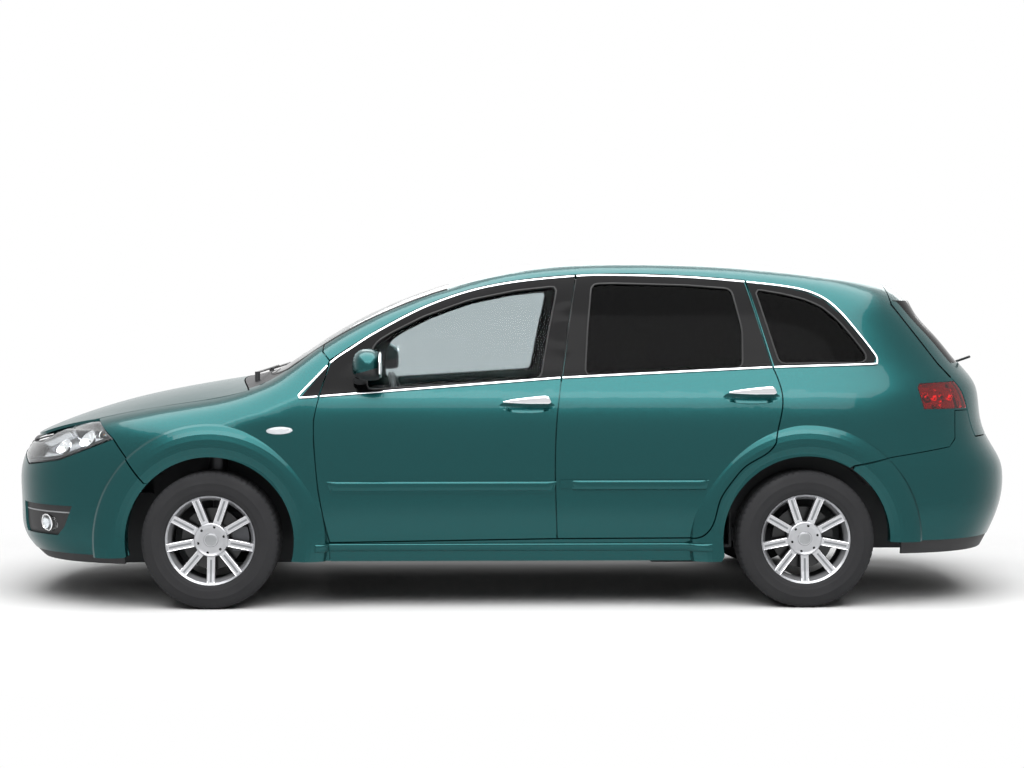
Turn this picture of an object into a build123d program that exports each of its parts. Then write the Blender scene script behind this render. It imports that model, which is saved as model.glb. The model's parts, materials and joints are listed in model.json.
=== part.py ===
from build123d import *
from math import cos, sin, tan, radians, hypot
import os
import numpy as np

os.makedirs("parts", exist_ok=True)

# ---------------------------------------------------------------- driving sizes (mm)
# Nose points to -X, the car's right side to +Y, up is +Z; the ground is z = 0.
AXLE_FRONT = -1378.0          # front axle line
AXLE_REAR = 1322.0            # rear axle line
HUB_Z = 312.0                 # wheel centre height = loaded tyre radius
HUB_Y = 762.0                 # half track, to the tyre's middle
TYRE_WIDTH = 205.0
TYRE_RADIUS = 312.0
RIM_RADIUS = 218.0            # over the rim flange
SEAT_RADIUS = 203.0           # bead seat
RIM_WIDTH = 186.0             # over the flanges
SPOKES = 9
SPOKE_WIDTH = 36.0
BOLTS = 5
BOLT_PCD = 112.0
BOLT_HOLE = 14.0
CENTRE_BORE = 57.0
DISC_RADIUS = 140.0
DISC_THICK = 22.0
ARCH_RADIUS = 380.0           # wheel opening
FLARE_RADIUS = 515.0          # where the arch flare dies into the side
SHUT_GAP = 6.5                # every shut line
SKIN = 12.0                   # door, bonnet and tailgate outer skins
PANEL = 14.0                  # wings, roof and bumpers
REBATE = 40.0                 # depth of the door rebates in the body side
PILLAR = 75.0                 # depth of the body side's box sections
DOOR_DEPTH = 95.0             # doors below the belt
FRAME_DEPTH = 35.0            # door frames round the glass
GLASS_IN = 6.0                # side glass sits this far inside the skin
GLASS = 5.0
BELT_DROP = 25.0              # inner door box stands this far inside the skin's edge
SEAL_GAP = 15.0               # inner door box to the opening
STRIP_PROUD = 8.0             # rubbing strips on the doors
DISH_DEPTH = 8.5              # hollow behind each door handle
HANDLE_LONG = 217.0
ROOF_HALF = 560.0             # roof panel half width, to the roof ditch
ROOF_END = 1768.0             # roof panel's rear edge
BASE = 150.0                  # bottom of the master surface
SILL_Z = 215.0
FLOOR_Z = 262.0               # cabin floor, top
FLOOR_THICK = 12.0
BOOT_Z = 560.0                # boot floor, top
SEAT_Y = 360.0                # front seats' middle
SEAT_HALF = 250.0
LAMP_DEPTH = 50.0             # tail lamp units
LENS = 5.0                    # headlamp lens
BUCKET = 12.0                 # headlamp bucket walls
BUCKET_DEPTH = 110.0
KINGPIN_Y = 690.0             # steering axis, upright
FOG_INNER = 485.0             # inner edge of the plates round the fog lamps
FOG_Y = 650.0
FOG_Z = 375.0
FOG_RADIUS = 38.0
COWL_Z = 915.0                # shelf under the windscreen
BULKHEAD_X = -1000.0
TUNNEL_Z = 372.0
RAIL_Y = 380.0                # inner faces of the front rails
RAIL_Z = 400.0
REAR_RAIL_Z = 440.0
WHEELHOUSE_Y = 625.0          # inner wall of the rear wheel houses
SEAT_FIT = 0.3                # running and resting pieces stand this far off their seats
STUB_RADIUS = 23.5            # hub stubs inside the wheels' centre bores
BORE_DEPTH = 30.0             # bottom of the centre bore, outboard of the tyre's middle
COLUMN_GAP = 6.0              # column shroud to the back of the steering wheel boss
COLUMN_LOW = (-900.0, 745.0)
COLUMN_TOP = (-560.0, 860.0)
FLAP_GAP = 5.0                # round the fuel flap


def through(*knots):
    """Natural cubic through (station, value) knots, straight beyond both ends."""
    xs, ys = (np.array(v, float) for v in zip(*knots))
    n, h = len(xs), np.diff(xs)
    a, b = np.eye(n), np.zeros(n)
    for i in range(1, n - 1):
        a[i, i - 1:i + 2] = h[i - 1], 2 * (h[i - 1] + h[i]), h[i]
        b[i] = 6 * ((ys[i + 1] - ys[i]) / h[i] - (ys[i] - ys[i - 1]) / h[i - 1])
    m = np.linalg.solve(a, b)

    def value(x):
        if x <= xs[0]:
            return float(ys[0] + ((ys[1] - ys[0]) / h[0] - h[0] * m[1] / 6) * (x - xs[0]))
        if x >= xs[-1]:
            return float(ys[-1] + ((ys[-1] - ys[-2]) / h[-1] + h[-1] * m[-2] / 6) * (x - xs[-1]))
        i = min(int(np.searchsorted(xs, x)) - 1, n - 2)
        t, u, d = x - xs[i], xs[i + 1] - x, h[i]
        return float((m[i] * u**3 + m[i + 1] * t**3) / (6 * d)
                     + (ys[i] / d - m[i] * d / 6) * u + (ys[i + 1] / d - m[i + 1] * d / 6) * t)
    return value


# ---------------------------------------------------------------- the master surface
# Four profiles drive the whole outside: nose and tail in side view, half width against
# height, and the top line from bonnet to backlight.
nose_x = through((150, -2230), (215, -2300), (300, -2362), (400, -2375), (517, -2378), (640, -2368),
                 (760, -2315), (870, -2245), (960, -2190), (1200, -2150), (1600, -2150))
tail_x = through((150, 2230), (215, 2268), (300, 2312), (400, 2354), (517, 2378), (640, 2364), (760, 2296),
                 (870, 2264), (960, 2256), (1034, 2227), (1082, 2188), (1200, 2090), (1320, 1988), (1440, 1884),
                 (1600, 1745))
side_y = through((150, 800), (215, 828), (300, 845), (400, 861), (517, 872), (640, 876), (760, 872), (870, 860),
                 (960, 837), (1045, 803), (1110, 779), (1200, 750), (1280, 725), (1400, 682), (1508, 640), (1620, 594))
top_z = through((-2420, 700), (-2299, 768), (-2183, 820), (-2026, 876), (-1816, 935), (-1606, 979), (-1365, 1020),
                (-1240, 1042), (-1125, 1080), (-1010, 1152), (-896, 1229), (-781, 1297), (-667, 1356), (-552, 1406),
                (-438, 1449), (-306, 1490), (-209, 1517), (-95, 1545), (249, 1590), (560, 1597), (867, 1591),
                (1230, 1566), (1592, 1520), (1774, 1488), (1900, 1460), (2100, 1400), (2400, 1300))


def crown(x):
    """Fall of the top at 680 mm off the centreline: more on the bonnet than on the roof."""
    return 50 + 22 * min(1.0, max(0.0, (-1150 - x) / 250))


def soft_max(a, b, k):
    return max(a, b) + max(k - abs(a - b), 0) ** 2 / (4 * k)


def side(x, z, inset=0.0):
    """Half width at a point of the side, pulled in round the nose and the tail."""
    end, n, m = (-nose_x(z), 7, 2.7) if x < 0 else (tail_x(z), 9, 2.8)
    s = 1 - abs(x / (end - inset)) ** n
    return side_y(z) * (s ** (1 / m) if s > 0 else s) - inset


def skin(x, y, z, inset=0.0):
    """Signed level of the master surface, zero on the skin set in by `inset`."""
    lid = z - top_z(x) + crown(x) * (abs(y) / 680) ** 2.2
    return soft_max(abs(y) - side(x, z, inset), lid + inset, 130)


def reach(origin, way, inset):
    """Where a ray from inside the car meets the skin."""
    near, far = 0.0, 2600.0
    for _ in range(34):
        mid = (near + far) / 2
        if skin(*(o + w * mid for o, w in zip(origin, way)), inset) < 0:
            near = mid
        else:
            far = mid
    return Vector(*(o + w * near for o, w in zip(origin, way)))


STATIONS = (-2300, -2240, -2170, -2080, -1960, -1820, -1650, -1480, -1360, -1270, -1190, -1110, -1000, -860, -720,
            -580, -440, -330, -240, -130, 100, 350, 650, 950, 1250, 1500, 1650, 1760, 1830, 1880, 1930, 1990, 2050,
            2110, 2170, 2215)
FAN = (-21, -14, -7, 0, 6, 12, 18, 23, 28, 33, 38, 43, 48, 53, 57, 61, 66, 72, 81)
TURN = (0, 8, 17, 27, 38, 50, 62, 72, 80, 86)
NOSE_LEVELS = (150, 205, 265, 330, 420, 517, 610, 690, 730, 760, 800, 850)
TAIL_LEVELS = (150, 205, 265, 330, 420, 517, 610, 690, 760, 820, 880, 960, 1034, 1082, 1150, 1240, 1340, 1430)
# stretches of the car: first and last station, bottom level, level the rays fan out from, lowest ray
ZONES = {"nose": (-2300, -1000, 500, 640, -8), "front": (-2170, -580, 150, 520, -22),
         "front door": (-1110, 650, 150, 520, -22), "rear door": (-130, 1500, 150, 520, -22),
         "body": (-1190, 2110, 150, 520, -22), "screen": (-1360, -130, 500, 640, -8),
         "roof": (-440, 1880, 500, 640, -8), "spoiler": (1250, 1930, 500, 640, -8)}


def solid_of(shape):
    s = shape if isinstance(shape, Solid) else shape.solids()[0]
    return s if s.volume > 0 else Solid(s.wrapped.Reversed())


def half_ring(x, inset, base, hub, low):
    """Points of a cross-section from the left bottom edge up to the centreline."""
    ring = [Vector(x, -side(x, base, inset), base)]
    ring += [reach((x, 0, hub), (0, -cos(radians(a)), sin(radians(a))), inset) for a in FAN if a > low]
    return ring + [reach((x, 0, hub), (0, 0, 1), inset)]


def ruled_alike(rings):
    """Splines through every ring with one shared spacing, so that the loft stays light."""
    spans = np.zeros(len(rings[0]) - 1)
    for ring in rings:
        steps = np.array([(b - a).length for a, b in zip(ring, ring[1:])])
        spans += steps / steps.sum()
    marks = np.concatenate([[0], np.cumsum(spans)]) / spans.sum()
    return [Edge.make_spline(ring, parameters=[float(m) for m in marks]) for ring in rings]


_made = {}


def left_shell(inset, zone):
    """Left half of everything inside the skin set in by `inset`, over one stretch of the car."""
    key = ("left", inset, zone)
    if key not in _made:
        first, last, base, hub, low = ZONES[zone]
        rings = [half_ring(x, inset, base, hub, low) for x in STATIONS if first <= x <= last]
        wires = []
        for ring, top in zip(rings, ruled_alike(rings)):
            foot = Vector(ring[0].X, 0, base)
            wires.append(Wire([top, Edge.make_line(ring[-1], foot), Edge.make_line(foot, ring[0])]))
        _made[key] = solid_of(Solid.make_loft(wires))
    return _made[key]


def whole_shell(inset, zone):
    """Both halves in one piece, for panels that cross the centreline."""
    key = ("whole", inset, zone)
    if key not in _made:
        first, last, base, hub, low = ZONES[zone]
        rings = [half_ring(x, inset, base, hub, low) for x in STATIONS if first <= x <= last]
        rings = [ring + [Vector(p.X, -p.Y, p.Z) for p in reversed(ring[:-1])] for ring in rings]
        wires = [Wire([top, Edge.make_line(ring[-1], ring[0])]) for ring, top in zip(rings, ruled_alike(rings))]
        _made[key] = solid_of(Solid.make_loft(wires))
    return _made[key]


def end_block(way, inset, start=1200.0):
    """Nose (way -1) or tail (way 1), lofted level by level so that its upright end stays true."""
    key = ("end", way, inset)
    if key not in _made:
        rings = []
        for z in NOSE_LEVELS if way < 0 else TAIL_LEVELS:
            half = [reach((way * 1500, 0, z), (way * cos(radians(a)), -sin(radians(a)), 0), inset) for a in TURN]
            half += [Vector(way * x, -side(way * x, z, inset), z) for x in (1450, 1330, start)]
            rings.append(list(reversed(half)) + [Vector(p.X, -p.Y, p.Z) for p in half[1:]])
        wires = [Wire([top, Edge.make_line(ring[-1], ring[0])]) for ring, top in zip(rings, ruled_alike(rings))]
        _made[key] = solid_of(Solid.make_loft(wires))
    return _made[key]


# ---------------------------------------------------------------- outlines and cuts
def loop_offset(runs, amount):
    """Move a closed outline, given as runs of points, outwards by `amount`."""
    ring = [p for run in runs for p in run[:-1]]
    n = len(ring)
    area = sum(ring[i][0] * ring[(i + 1) % n][1] - ring[(i + 1) % n][0] * ring[i][1] for i in range(n))
    turn = 1 if area > 0 else -1
    moved = []
    for i in range(n):
        (ax, ay), (bx, by), (cx, cy) = ring[i - 1], ring[i], ring[(i + 1) % n]
        l1, l2 = hypot(bx - ax, by - ay), hypot(cx - bx, cy - by)
        n1 = (turn * (by - ay) / l1, -turn * (bx - ax) / l1)
        n2 = (turn * (cy - by) / l2, -turn * (cx - bx) / l2)
        dot = 1 + n1[0] * n2[0] + n1[1] * n2[1]
        moved.append((bx + amount * (n1[0] + n2[0]) / dot, by + amount * (n1[1] + n2[1]) / dot))
    out, k = [], 0
    for run in runs:
        m = len(run) - 1
        out.append([moved[(k + j) % n] for j in range(m + 1)])
        k += m
    return out


def loop_wire(runs, place, amount=0.0):
    runs = loop_offset(runs, amount) if amount else runs
    edges = []
    for run in runs:
        pts = [place(*p) for p in run]
        edges.append(Edge.make_line(*pts) if len(pts) == 2 else Edge.make_spline(pts))
    return Wire(edges)


def side_cut(runs, amount=0.0, y0=0.0, y1=-1000.0):
    """Block with the given side-view outline, running from y0 to y1."""
    face = Face(loop_wire(runs, lambda x, z: Vector(x, y0, z), amount))
    return extrude(face, abs(y1 - y0), dir=(0, 1 if y1 > y0 else -1, 0))


def plan_cut(runs, amount=0.0, z0=400.0, z1=1700.0):
    face = Face(loop_wire(runs, lambda x, y: Vector(x, y, z0), amount))
    return extrude(face, z1 - z0, dir=(0, 0, 1))


def rear_cut(runs, amount=0.0, x0=1200.0, x1=2500.0):
    face = Face(loop_wire(runs, lambda y, z: Vector(x0, y, z), amount))
    return extrude(face, x1 - x0, dir=(1, 0, 0))


def straight(*points):
    """Closed outline of straight runs."""
    return [[points[i], points[(i + 1) % len(points)]] for i in range(len(points))]


def box(x0, x1, y0, y1, z0, z1):
    return Pos((x0 + x1) / 2, (y0 + y1) / 2, (z0 + z1) / 2) * Box(abs(x1 - x0), abs(y1 - y0), abs(z1 - z0))


def rounded(x0, x1, y0, y1, z0, z1, r):
    """Box with every edge rounded."""
    b = box(x0, x1, y0, y1, z0, z1)
    return fillet(b.edges(), min(r, 0.49 * min(abs(x1 - x0), abs(y1 - y0), abs(z1 - z0))))


def rod(a, b, r, inner=0.0):
    """Round bar (or tube) from point a to point b."""
    a, b = Vector(*a), Vector(*b)
    plane = Plane(origin=a, z_dir=b - a)
    bar = extrude(plane * Circle(r), (b - a).length)
    return bar - extrude(plane * Circle(inner), (b - a).length) if inner else bar


def across(x, z, r, y0, y1):
    """Cylinder lying along Y."""
    return rod((x, y0, z), (x, y1, z), r)


def other(shape):
    """The same on the car's other side."""
    return mirror(shape, Plane.XZ)


def both(shape):
    """Left-hand pieces and their right-hand twins as one list of solids."""
    return shape.solids() + other(shape).solids()


def turned(profile, x, z):
    """Ring turned about a wheel axis from (radius, y) points; y is given for the left side."""
    face = Face(Wire.make_polygon([Vector(x + r, y, z) for r, y in profile], close=True))
    return revolve(face, Axis((x, 0, z), (0, 1, 0)), 360)


def minus(shape, *tools):
    for tool in tools:
        shape = shape.cut(tool)
    return shape


def biggest(shape):
    return max(shape.solids(), key=lambda s: s.volume)


# ---------------------------------------------------------------- shut lines (side view x, z)
A_PILLAR = (-843, 1124)
FRONT_DOOR = [[(-839, 302), (-864, 404), (-889, 545), (-907, 753), (-908, 857), (-885, 964), A_PILLAR],
              [A_PILLAR, (-625, 1262), (-417, 1370), (-206, 1446), (6, 1489), (284, 1516)],
              [(284, 1516), (248, 1290), (212, 1050), (186, 829), (181, 576), (190, 318)],
              [(190, 318), (-839, 302)]]
REAR_DOOR = [[(190, 318), (181, 576), (186, 829), (212, 1050), (252, 1290), (288, 1516)],
             [(288, 1516), (457, 1521), (794, 1512), (1070, 1490)],
             [(1070, 1490), (1176, 1093)],
             [(1176, 1093), (1205, 1014), (1214, 955), (1193, 830), (1178, 755)],
             [(1178, 755), (1141, 710), (1044, 651), (977, 576), (925, 494), (895, 389), (865, 345), (805, 320)],
             [(805, 320), (190, 318)]]
FRONT_GLASS = [[(-672, 992), (-668, 1130), (-634, 1206)],
               [(-634, 1206), (-560, 1252), (-417, 1324), (-206, 1400), (6, 1443), (205, 1466)],
               [(205, 1466), (160, 1250), (123, 1042)],
               [(123, 1042), (-672, 992)]]
REAR_GLASS = [[(313, 1056), (328, 1270), (350, 1474)],
              [(350, 1474), (457, 1477), (794, 1468), (1008, 1452)],
              [(1008, 1452), (1050, 1262), (1045, 1090)],
              [(1045, 1090), (313, 1056)]]
QUARTER_GLASS = [[(1208, 1108), (1110, 1450)],
                 [(1110, 1450), (1243, 1428), (1345, 1402), (1420, 1368), (1490, 1308), (1560, 1222), (1618, 1142)],
                 [(1618, 1142), (1600, 1112)],
                 [(1600, 1112), (1208, 1108)]]
BODY_SIDE = straight((-955, SILL_Z), (935, SILL_Z), (1000, 330), (1322, 520), (1535, 652), (1714, 688), (1990, 730),
                     (2020, 766), (2028, 893), (2105, 893), (2105, 1040), (2022, 1040), (1966, 1102),
                     (1735, 1420), (1768, 1468), (1768, 1640), (-330, 1640), (-1120, 1200), (-1120, 1000),
                     (-1040, 760), (-955, 640))
WING = straight((-1450, 560), (-1668, 572), (-1817, 766), (-1917, 846), (-1945, 880), (-1945, 1300), (-877, 1300),
                (-877, 1162), (-843, 1124), (-885, 964), (-908, 857), (-907, 753), (-889, 545), (-864, 404),
                (-839, 302), (-839, SILL_Z), (-1200, SILL_Z), (-1200, 400))
HEADLAMP = straight((-1823, 771), (-1913, 843), (-1998, 833), (-2120, 788), (-2207, 741), (-2290, 735), (-2330, 690),
                    (-2265, 640), (-2078, 673))
TAIL_LAMP = straight((1845, 997), (1869, 901), (2240, 901), (2240, 1033), (1855, 1017))
TAILGATE_HALF = 652.0         # half width below the backlight
TAILGATE_FOOT = 771.0
TAILGATE = straight((1774.5, 1640), (1774.5, 1471), (1743, 1425), (1972, 1107), (2029, 1046), (2029, TAILGATE_FOOT),
                    (2450, TAILGATE_FOOT), (2450, 1640))
TAIL_GLASS = straight((-560, 1105), (560, 1105), (510, 1400), (-510, 1400))
BUMPER_FRONT = straight((-2420, 236), (-1763, 236), (-1600, 300), (-1500, 560), (-1672, 575), (-1821, 766),
                        (-2078, 668), (-2265, 634), (-2330, 684), (-2420, 684))
FOG_HOLE = straight((-2420, 320), (-2420, 460), (-2018, 460), (-2061, 362), (-2098, 320))
BUMPER_REAR = straight((1400, 300), (1500, 560), (1538, 646), (1714, 684), (1990, 726), (2024, 762), (2032, 889),
                       (2240, 889), (2240, 765), (2450, 765), (2450, 300))
# plan-view outlines (x, y), whole width
BONNET_HALF = [(-2296, 0), (-2290, -180), (-2262, -320), (-2215, -405), (-2120, -480), (-2000, -560), (-1940, -600),
               (-1695, -640), (-1297, -690), (-1222, -700), (-1248, -560), (-1290, -300), (-1300, 0)]
SCREEN_HALF = [(-1178, 0), (-1166, -260), (-1128, -480), (-1064, -640), (-1040, -668), (-306, -ROOF_HALF - 10),
               (-306, 0)]


def whole_loop(half, splits):
    """Closed plan outline from its left half; `splits` are the indices where a run ends."""
    ring = half + [(x, -y) for x, y in reversed(half[1:-1])]
    marks = sorted(set(splits) | {(len(ring) - s) % len(ring) for s in splits})
    runs = []
    for a, b in zip(marks, marks[1:] + [marks[0] + len(ring)]):
        runs.append([ring[i % len(ring)] for i in range(a, b + 1)])
    return runs


BONNET = whole_loop(BONNET_HALF, [3, 6, 9])
SCREEN = whole_loop(SCREEN_HALF, [4, 5])


def flare(axle):
    """Raised band round a left wheel opening, set on the skin."""
    return turned([(ARCH_RADIUS - 60, -820), (ARCH_RADIUS - 60, -868), (ARCH_RADIUS, -869), (ARCH_RADIUS + 20, -877),
                   (ARCH_RADIUS + 44, -885), (ARCH_RADIUS + 60, -887.5), (ARCH_RADIUS + 80, -886),
                   (ARCH_RADIUS + 104, -880), (ARCH_RADIUS + 122, -873), (FLARE_RADIUS + 4, -864),
                   (FLARE_RADIUS + 14, -850), (FLARE_RADIUS + 14, -820)], axle, HUB_Z)


def opening(axle, r=ARCH_RADIUS, inner=-560.0):
    return across(axle, HUB_Z, r, inner, -1000)


def outer(zone):
    """Left half of one stretch of the car with the arch flare that falls on it."""
    key = ("outer", zone)
    if key not in _made:
        axle = AXLE_FRONT if zone == "front" else AXLE_REAR
        _made[key] = left_shell(0, zone)
        if zone != "front door":
            _made[key] = _made[key] + flare(axle)
    return _made[key]


DOORS = {"front": FRONT_DOOR, "rear": REAR_DOOR}
GLASSES = {"front": FRONT_GLASS, "rear": REAR_GLASS}
BELT = straight((-1000, 200), (1300, 200), (1300, 1092), (1178, 1085), (212, 1038), (-742, 978), (-800, 975),
                (-1000, 960))


STRIPS = {"front": straight((-832, 532), (-826, 566), (176, 564), (172, 530)),
          "rear": straight((200, 553), (203, 588), (868, 588), (835, 553))}
HANDLES = {"front": (-55, 938), "rear": (967, 979)}


def dish(x, z):
    """Shallow oval hollow behind a door handle that starts at (x, z)."""
    deep = 40.0
    bowl = scale(Sphere(1), by=(172, deep, 46))
    return Pos(x + HANDLE_LONG / 2, -side_y(z) - deep + DISH_DEPTH, z - 10) * bowl


def door(which):
    """Left door: thin outer skin, deep box below the belt, slim frame round the glass."""
    runs, glass, zone = DOORS[which], GLASSES[which], which + " door"
    half = -SHUT_GAP / 2
    piece = minus(outer(zone) & side_cut(runs, half), left_shell(SKIN, zone))
    inside = left_shell(SKIN, zone) & side_cut(runs, -BELT_DROP)
    low = minus(inside & side_cut(BELT), left_shell(DOOR_DEPTH, zone))
    high = minus(minus(inside, side_cut(BELT)), left_shell(FRAME_DEPTH, zone))
    piece = biggest(minus(piece + low + high, dish(*HANDLES[which])))
    strip = minus(left_shell(-STRIP_PROUD, zone) & side_cut(STRIPS[which]), left_shell(SKIN / 2, zone))
    return minus(biggest(piece + strip), side_cut(glass, 0, -400, -1000))


def side_glass(runs, zone):
    return minus(left_shell(GLASS_IN, zone) & side_cut(runs), left_shell(GLASS_IN + GLASS, zone))


def handle(which):
    """Pull handle of a left door: a bar, pointed in front, on two feet that stand in the dish."""
    x, z = HANDLES[which]
    y, end = -side_y(z), x + HANDLE_LONG
    bar = side_cut([[(x, z + 1), (x + 30, z + 11), (x + 100, z + 17), (end - 35, z + 18), (end - 5, z + 13), (end, z + 3)],
                    [(end, z + 3), (end - 7, z - 8), (end - 65, z - 13), (x + 55, z - 9), (x, z + 1)]],
                   0, y - 20, y - 34)
    bar = fillet(bar.faces().sort_by(Axis.Y)[0].edges(), 4)
    feet = [box(a, a + 22, y - 24, y + DISH_DEPTH + 2, z - 6, z + 9) for a in (x + 24, end - 40)]
    hollowed = minus(left_shell(0, which + " door"), dish(x, z))
    return biggest(minus(bar + feet[0] + feet[1], hollowed))


def body_side():
    """Left body side: sill, pillars, roof rail and rear quarter in one frame."""
    piece = minus(outer("body") & side_cut(BODY_SIDE), left_shell(PILLAR, "body"))
    screen = plan_cut(SCREEN, 0, 960, 1700)
    roof = box(-306, 1780, -ROOF_HALF, 10, 1380, 1700)
    front = plan_cut(BONNET, SHUT_GAP, 700, 1300) + box(-1300, -1040, -668, 0, 940, 1300)
    tail = box(1900, 2300, -TAILGATE_HALF - SHUT_GAP, 10, 700, 1046)
    piece = minus(piece, screen, roof, front, tail, opening(AXLE_REAR))
    for runs in (FRONT_DOOR, REAR_DOOR):
        rebate = minus(side_cut(runs, SHUT_GAP / 2), left_shell(REBATE, "body"))
        piece = minus(piece, rebate, side_cut(runs, SEAL_GAP - BELT_DROP, -400, -1000))
    wing_bed = minus(side_cut(WING, SHUT_GAP / 2, -300, -1000), left_shell(PANEL, "front"))
    lamp_bed = minus(side_cut(TAIL_LAMP), left_shell(LAMP_DEPTH, "body"))
    piece = minus(piece, wing_bed, lamp_bed, side_cut(QUARTER_GLASS, 0, -400, -1000))
    for x, z in ((172, 700), (169, 900), (1183, 820), (1201, 985)):
        stop = box(x - 5, x + 5, -600, -1000, z - 22, z + 22) & left_shell(SKIN + SEAT_FIT, "body")
        piece = piece + biggest(minus(stop, left_shell(REBATE + 4, "body")))
    return biggest(piece)


def wing():
    """Left front wing, thin, lapping over the hinge pillar."""
    piece = minus(outer("front") & side_cut(WING, -SHUT_GAP / 2), left_shell(PANEL, "front"))
    piece = minus(piece, plan_cut(BONNET, SHUT_GAP, 600, 1300), plan_cut(SCREEN, 3, 900, 1400),
                  box(-1300, -1040, -668, 0, 900, 1300), opening(AXLE_FRONT))
    return biggest(piece)


# ---------------------------------------------------------------- panels across the car
def roof_panel():
    """Roof skin with the two tailgate hinge blocks under its rear edge."""
    block = whole_shell(0, "roof") & box(-306, ROOF_END, -ROOF_HALF, ROOF_HALF, 1380, 1700)
    piece = minus(block, whole_shell(PANEL, "roof"))
    for y in (-450, 450):
        hinge = whole_shell(PANEL - 2, "roof") & box(1690, ROOF_END + SHUT_GAP - SEAT_FIT, y - 25, y + 25, 1300, 1600)
        piece = piece + minus(hinge, whole_shell(PANEL + 14, "roof"))
    return piece


def windscreen():
    return minus(whole_shell(3, "screen") & plan_cut(SCREEN, 0, 960, 1700), whole_shell(9, "screen"))


def scuttle():
    """Cowl panel between bonnet and windscreen, on two webs that stand on the cowl shelf."""
    tray = whole_shell(0, "screen") & box(-1300, -1040, -668, 668, 800, 1300)
    tray = minus(tray, plan_cut(BONNET, SHUT_GAP, 700, 1300), plan_cut(SCREEN, 0, 900, 1400))
    webs = tray & (box(-1215, -1205, -640, 640, COWL_Z, 1300) + box(-1120, -1100, -660, 660, COWL_Z, 1300))
    return minus(tray, whole_shell(8, "screen")) + webs


def bonnet():
    lid = minus(whole_shell(0, "nose") & plan_cut(BONNET, 0, 600, 1300), whole_shell(SKIN, "nose"))
    frame = minus(whole_shell(SKIN, "nose") & plan_cut(BONNET, -30, 600, 1300), whole_shell(SKIN + 16, "nose"),
                  plan_cut(BONNET, -115, 600, 1300))
    return lid + frame


def front_bumper():
    piece = end_block(-1, 0) & side_cut(BUMPER_FRONT, 0, 1000, -1000)
    ring = flare(AXLE_FRONT) & side_cut(BUMPER_FRONT, -2, 0, -1000)
    piece = piece + ring + other(ring)
    lamp_holes = [side_cut(FOG_HOLE, 0, s * FOG_INNER, s * 1000) for s in (-1, 1)]
    piece = minus(piece, end_block(-1, PANEL), box(-2450, -2000, -360, 360, 300, 470), *lamp_holes,
                  opening(AXLE_FRONT), other(opening(AXLE_FRONT)))
    return biggest(piece)


def front_grille():
    """Slats above and below, and the black plates round the fog lamps."""
    upper = minus(end_block(-1, 2) & box(-2420, -2100, -392, 392, 684, 745), end_block(-1, PANEL),
                  *[box(-2420, -2100, -378, 378, z, z + 11) for z in (692, 709, 726)])
    grid = end_block(-1, 5) & (box(-2420, -2000, -360, 360, 300, 470))
    slots = [box(-2420, -2000, -350, 350, z, z + 20) for z in range(308, 456, 28)]
    grid = minus(grid, end_block(-1, PANEL), *slots)
    plates = []
    for s in (-1, 1):
        plate = end_block(-1, 8) & side_cut(FOG_HOLE, 0, s * FOG_INNER, s * 1000)
        plates.append(biggest(minus(plate, end_block(-1, PANEL), rod((-2450, s * FOG_Y, FOG_Z),
                                                                     (-1900, s * FOG_Y, FOG_Z), FOG_RADIUS))))
    return Compound(children=upper.solids() + grid.solids() + plates)


def fog_lamps():
    lamps = [end_block(-1, 5) & rod((-2450, s * FOG_Y, FOG_Z), (-1900, s * FOG_Y, FOG_Z), FOG_RADIUS) for s in (-1, 1)]
    return Compound(children=[minus(lamp, end_block(-1, PANEL)).solids()[0] for lamp in lamps])


def lamp_block(inset):
    return minus(end_block(-1, inset) & side_cut(HEADLAMP, -2.5, -395, -1000), plan_cut(BONNET, SHUT_GAP, 500, 1300))


def headlamps():
    return Compound(children=both(biggest(minus(lamp_block(0), end_block(-1, LENS)))))


def front_panel():
    """Radiator and its support, bumper beam and headlamp buckets."""
    bucket = minus(lamp_block(LENS), end_block(-1, BUCKET_DEPTH))
    hollow = minus(end_block(-1, LENS) & side_cut(HEADLAMP, -2.5 - BUCKET, -395 - BUCKET, -1000),
                   end_block(-1, BUCKET_DEPTH - BUCKET), plan_cut(BONNET, SHUT_GAP + BUCKET, 500, 1300))
    bucket = biggest(minus(bucket, hollow))
    beam = minus(end_block(-1, PANEL) & box(-2420, -2150, -600, 600, 490, 590), end_block(-1, 70))
    support = minus(box(-2216, -2190, -460, 460, 262, 730), box(-2300, -2100, -380, 380, 300, 680))
    core = box(-2224, -2190, -390, 390, 290, 690)
    stays = [box(-2310, -2200, y - 30, y + 30, 500, 580) for y in (-450, 450)]
    stays += [box(-2216, -2190, s * 455, s * 600, 600, 730) for s in (-1, 1)]
    piece = beam + support + core
    for stay in stays:
        piece = piece + (stay & end_block(-1, LENS + 40))
    for y in (-250, 250):
        buffer = rod((-2203, y, 720), (-2203, y, 860), 14) & whole_shell(SKIN + 16 + SEAT_FIT, "nose")
        piece = piece + buffer
    return biggest(piece + bucket + other(bucket))


def rear_bumper():
    piece = end_block(1, 0) & side_cut(BUMPER_REAR, 0, 1000, -1000)
    ring = flare(AXLE_REAR) & side_cut(BUMPER_REAR, -2, 0, -1000)
    piece = piece + ring + other(ring)
    piece = minus(piece, end_block(1, PANEL), box(1900, 2420, -TAILGATE_HALF - SHUT_GAP, TAILGATE_HALF + SHUT_GAP,
                                                  TAILGATE_FOOT - SHUT_GAP, 1000),
                  opening(AXLE_REAR), other(opening(AXLE_REAR)), box(1000, AXLE_REAR + 100, -1000, 1000, 100, 900))
    return biggest(piece)


def lower_skirts():
    """Unpainted lips under the bumpers."""
    front = minus(end_block(-1, 3) & box(-2420, -1775, -900, 900, 196, 236), end_block(-1, 20))
    rear = minus(end_block(1, 3) & box(1765, 2420, -900, 900, 240, 300), end_block(1, 20))
    return Compound(children=front.solids() + rear.solids())


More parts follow.
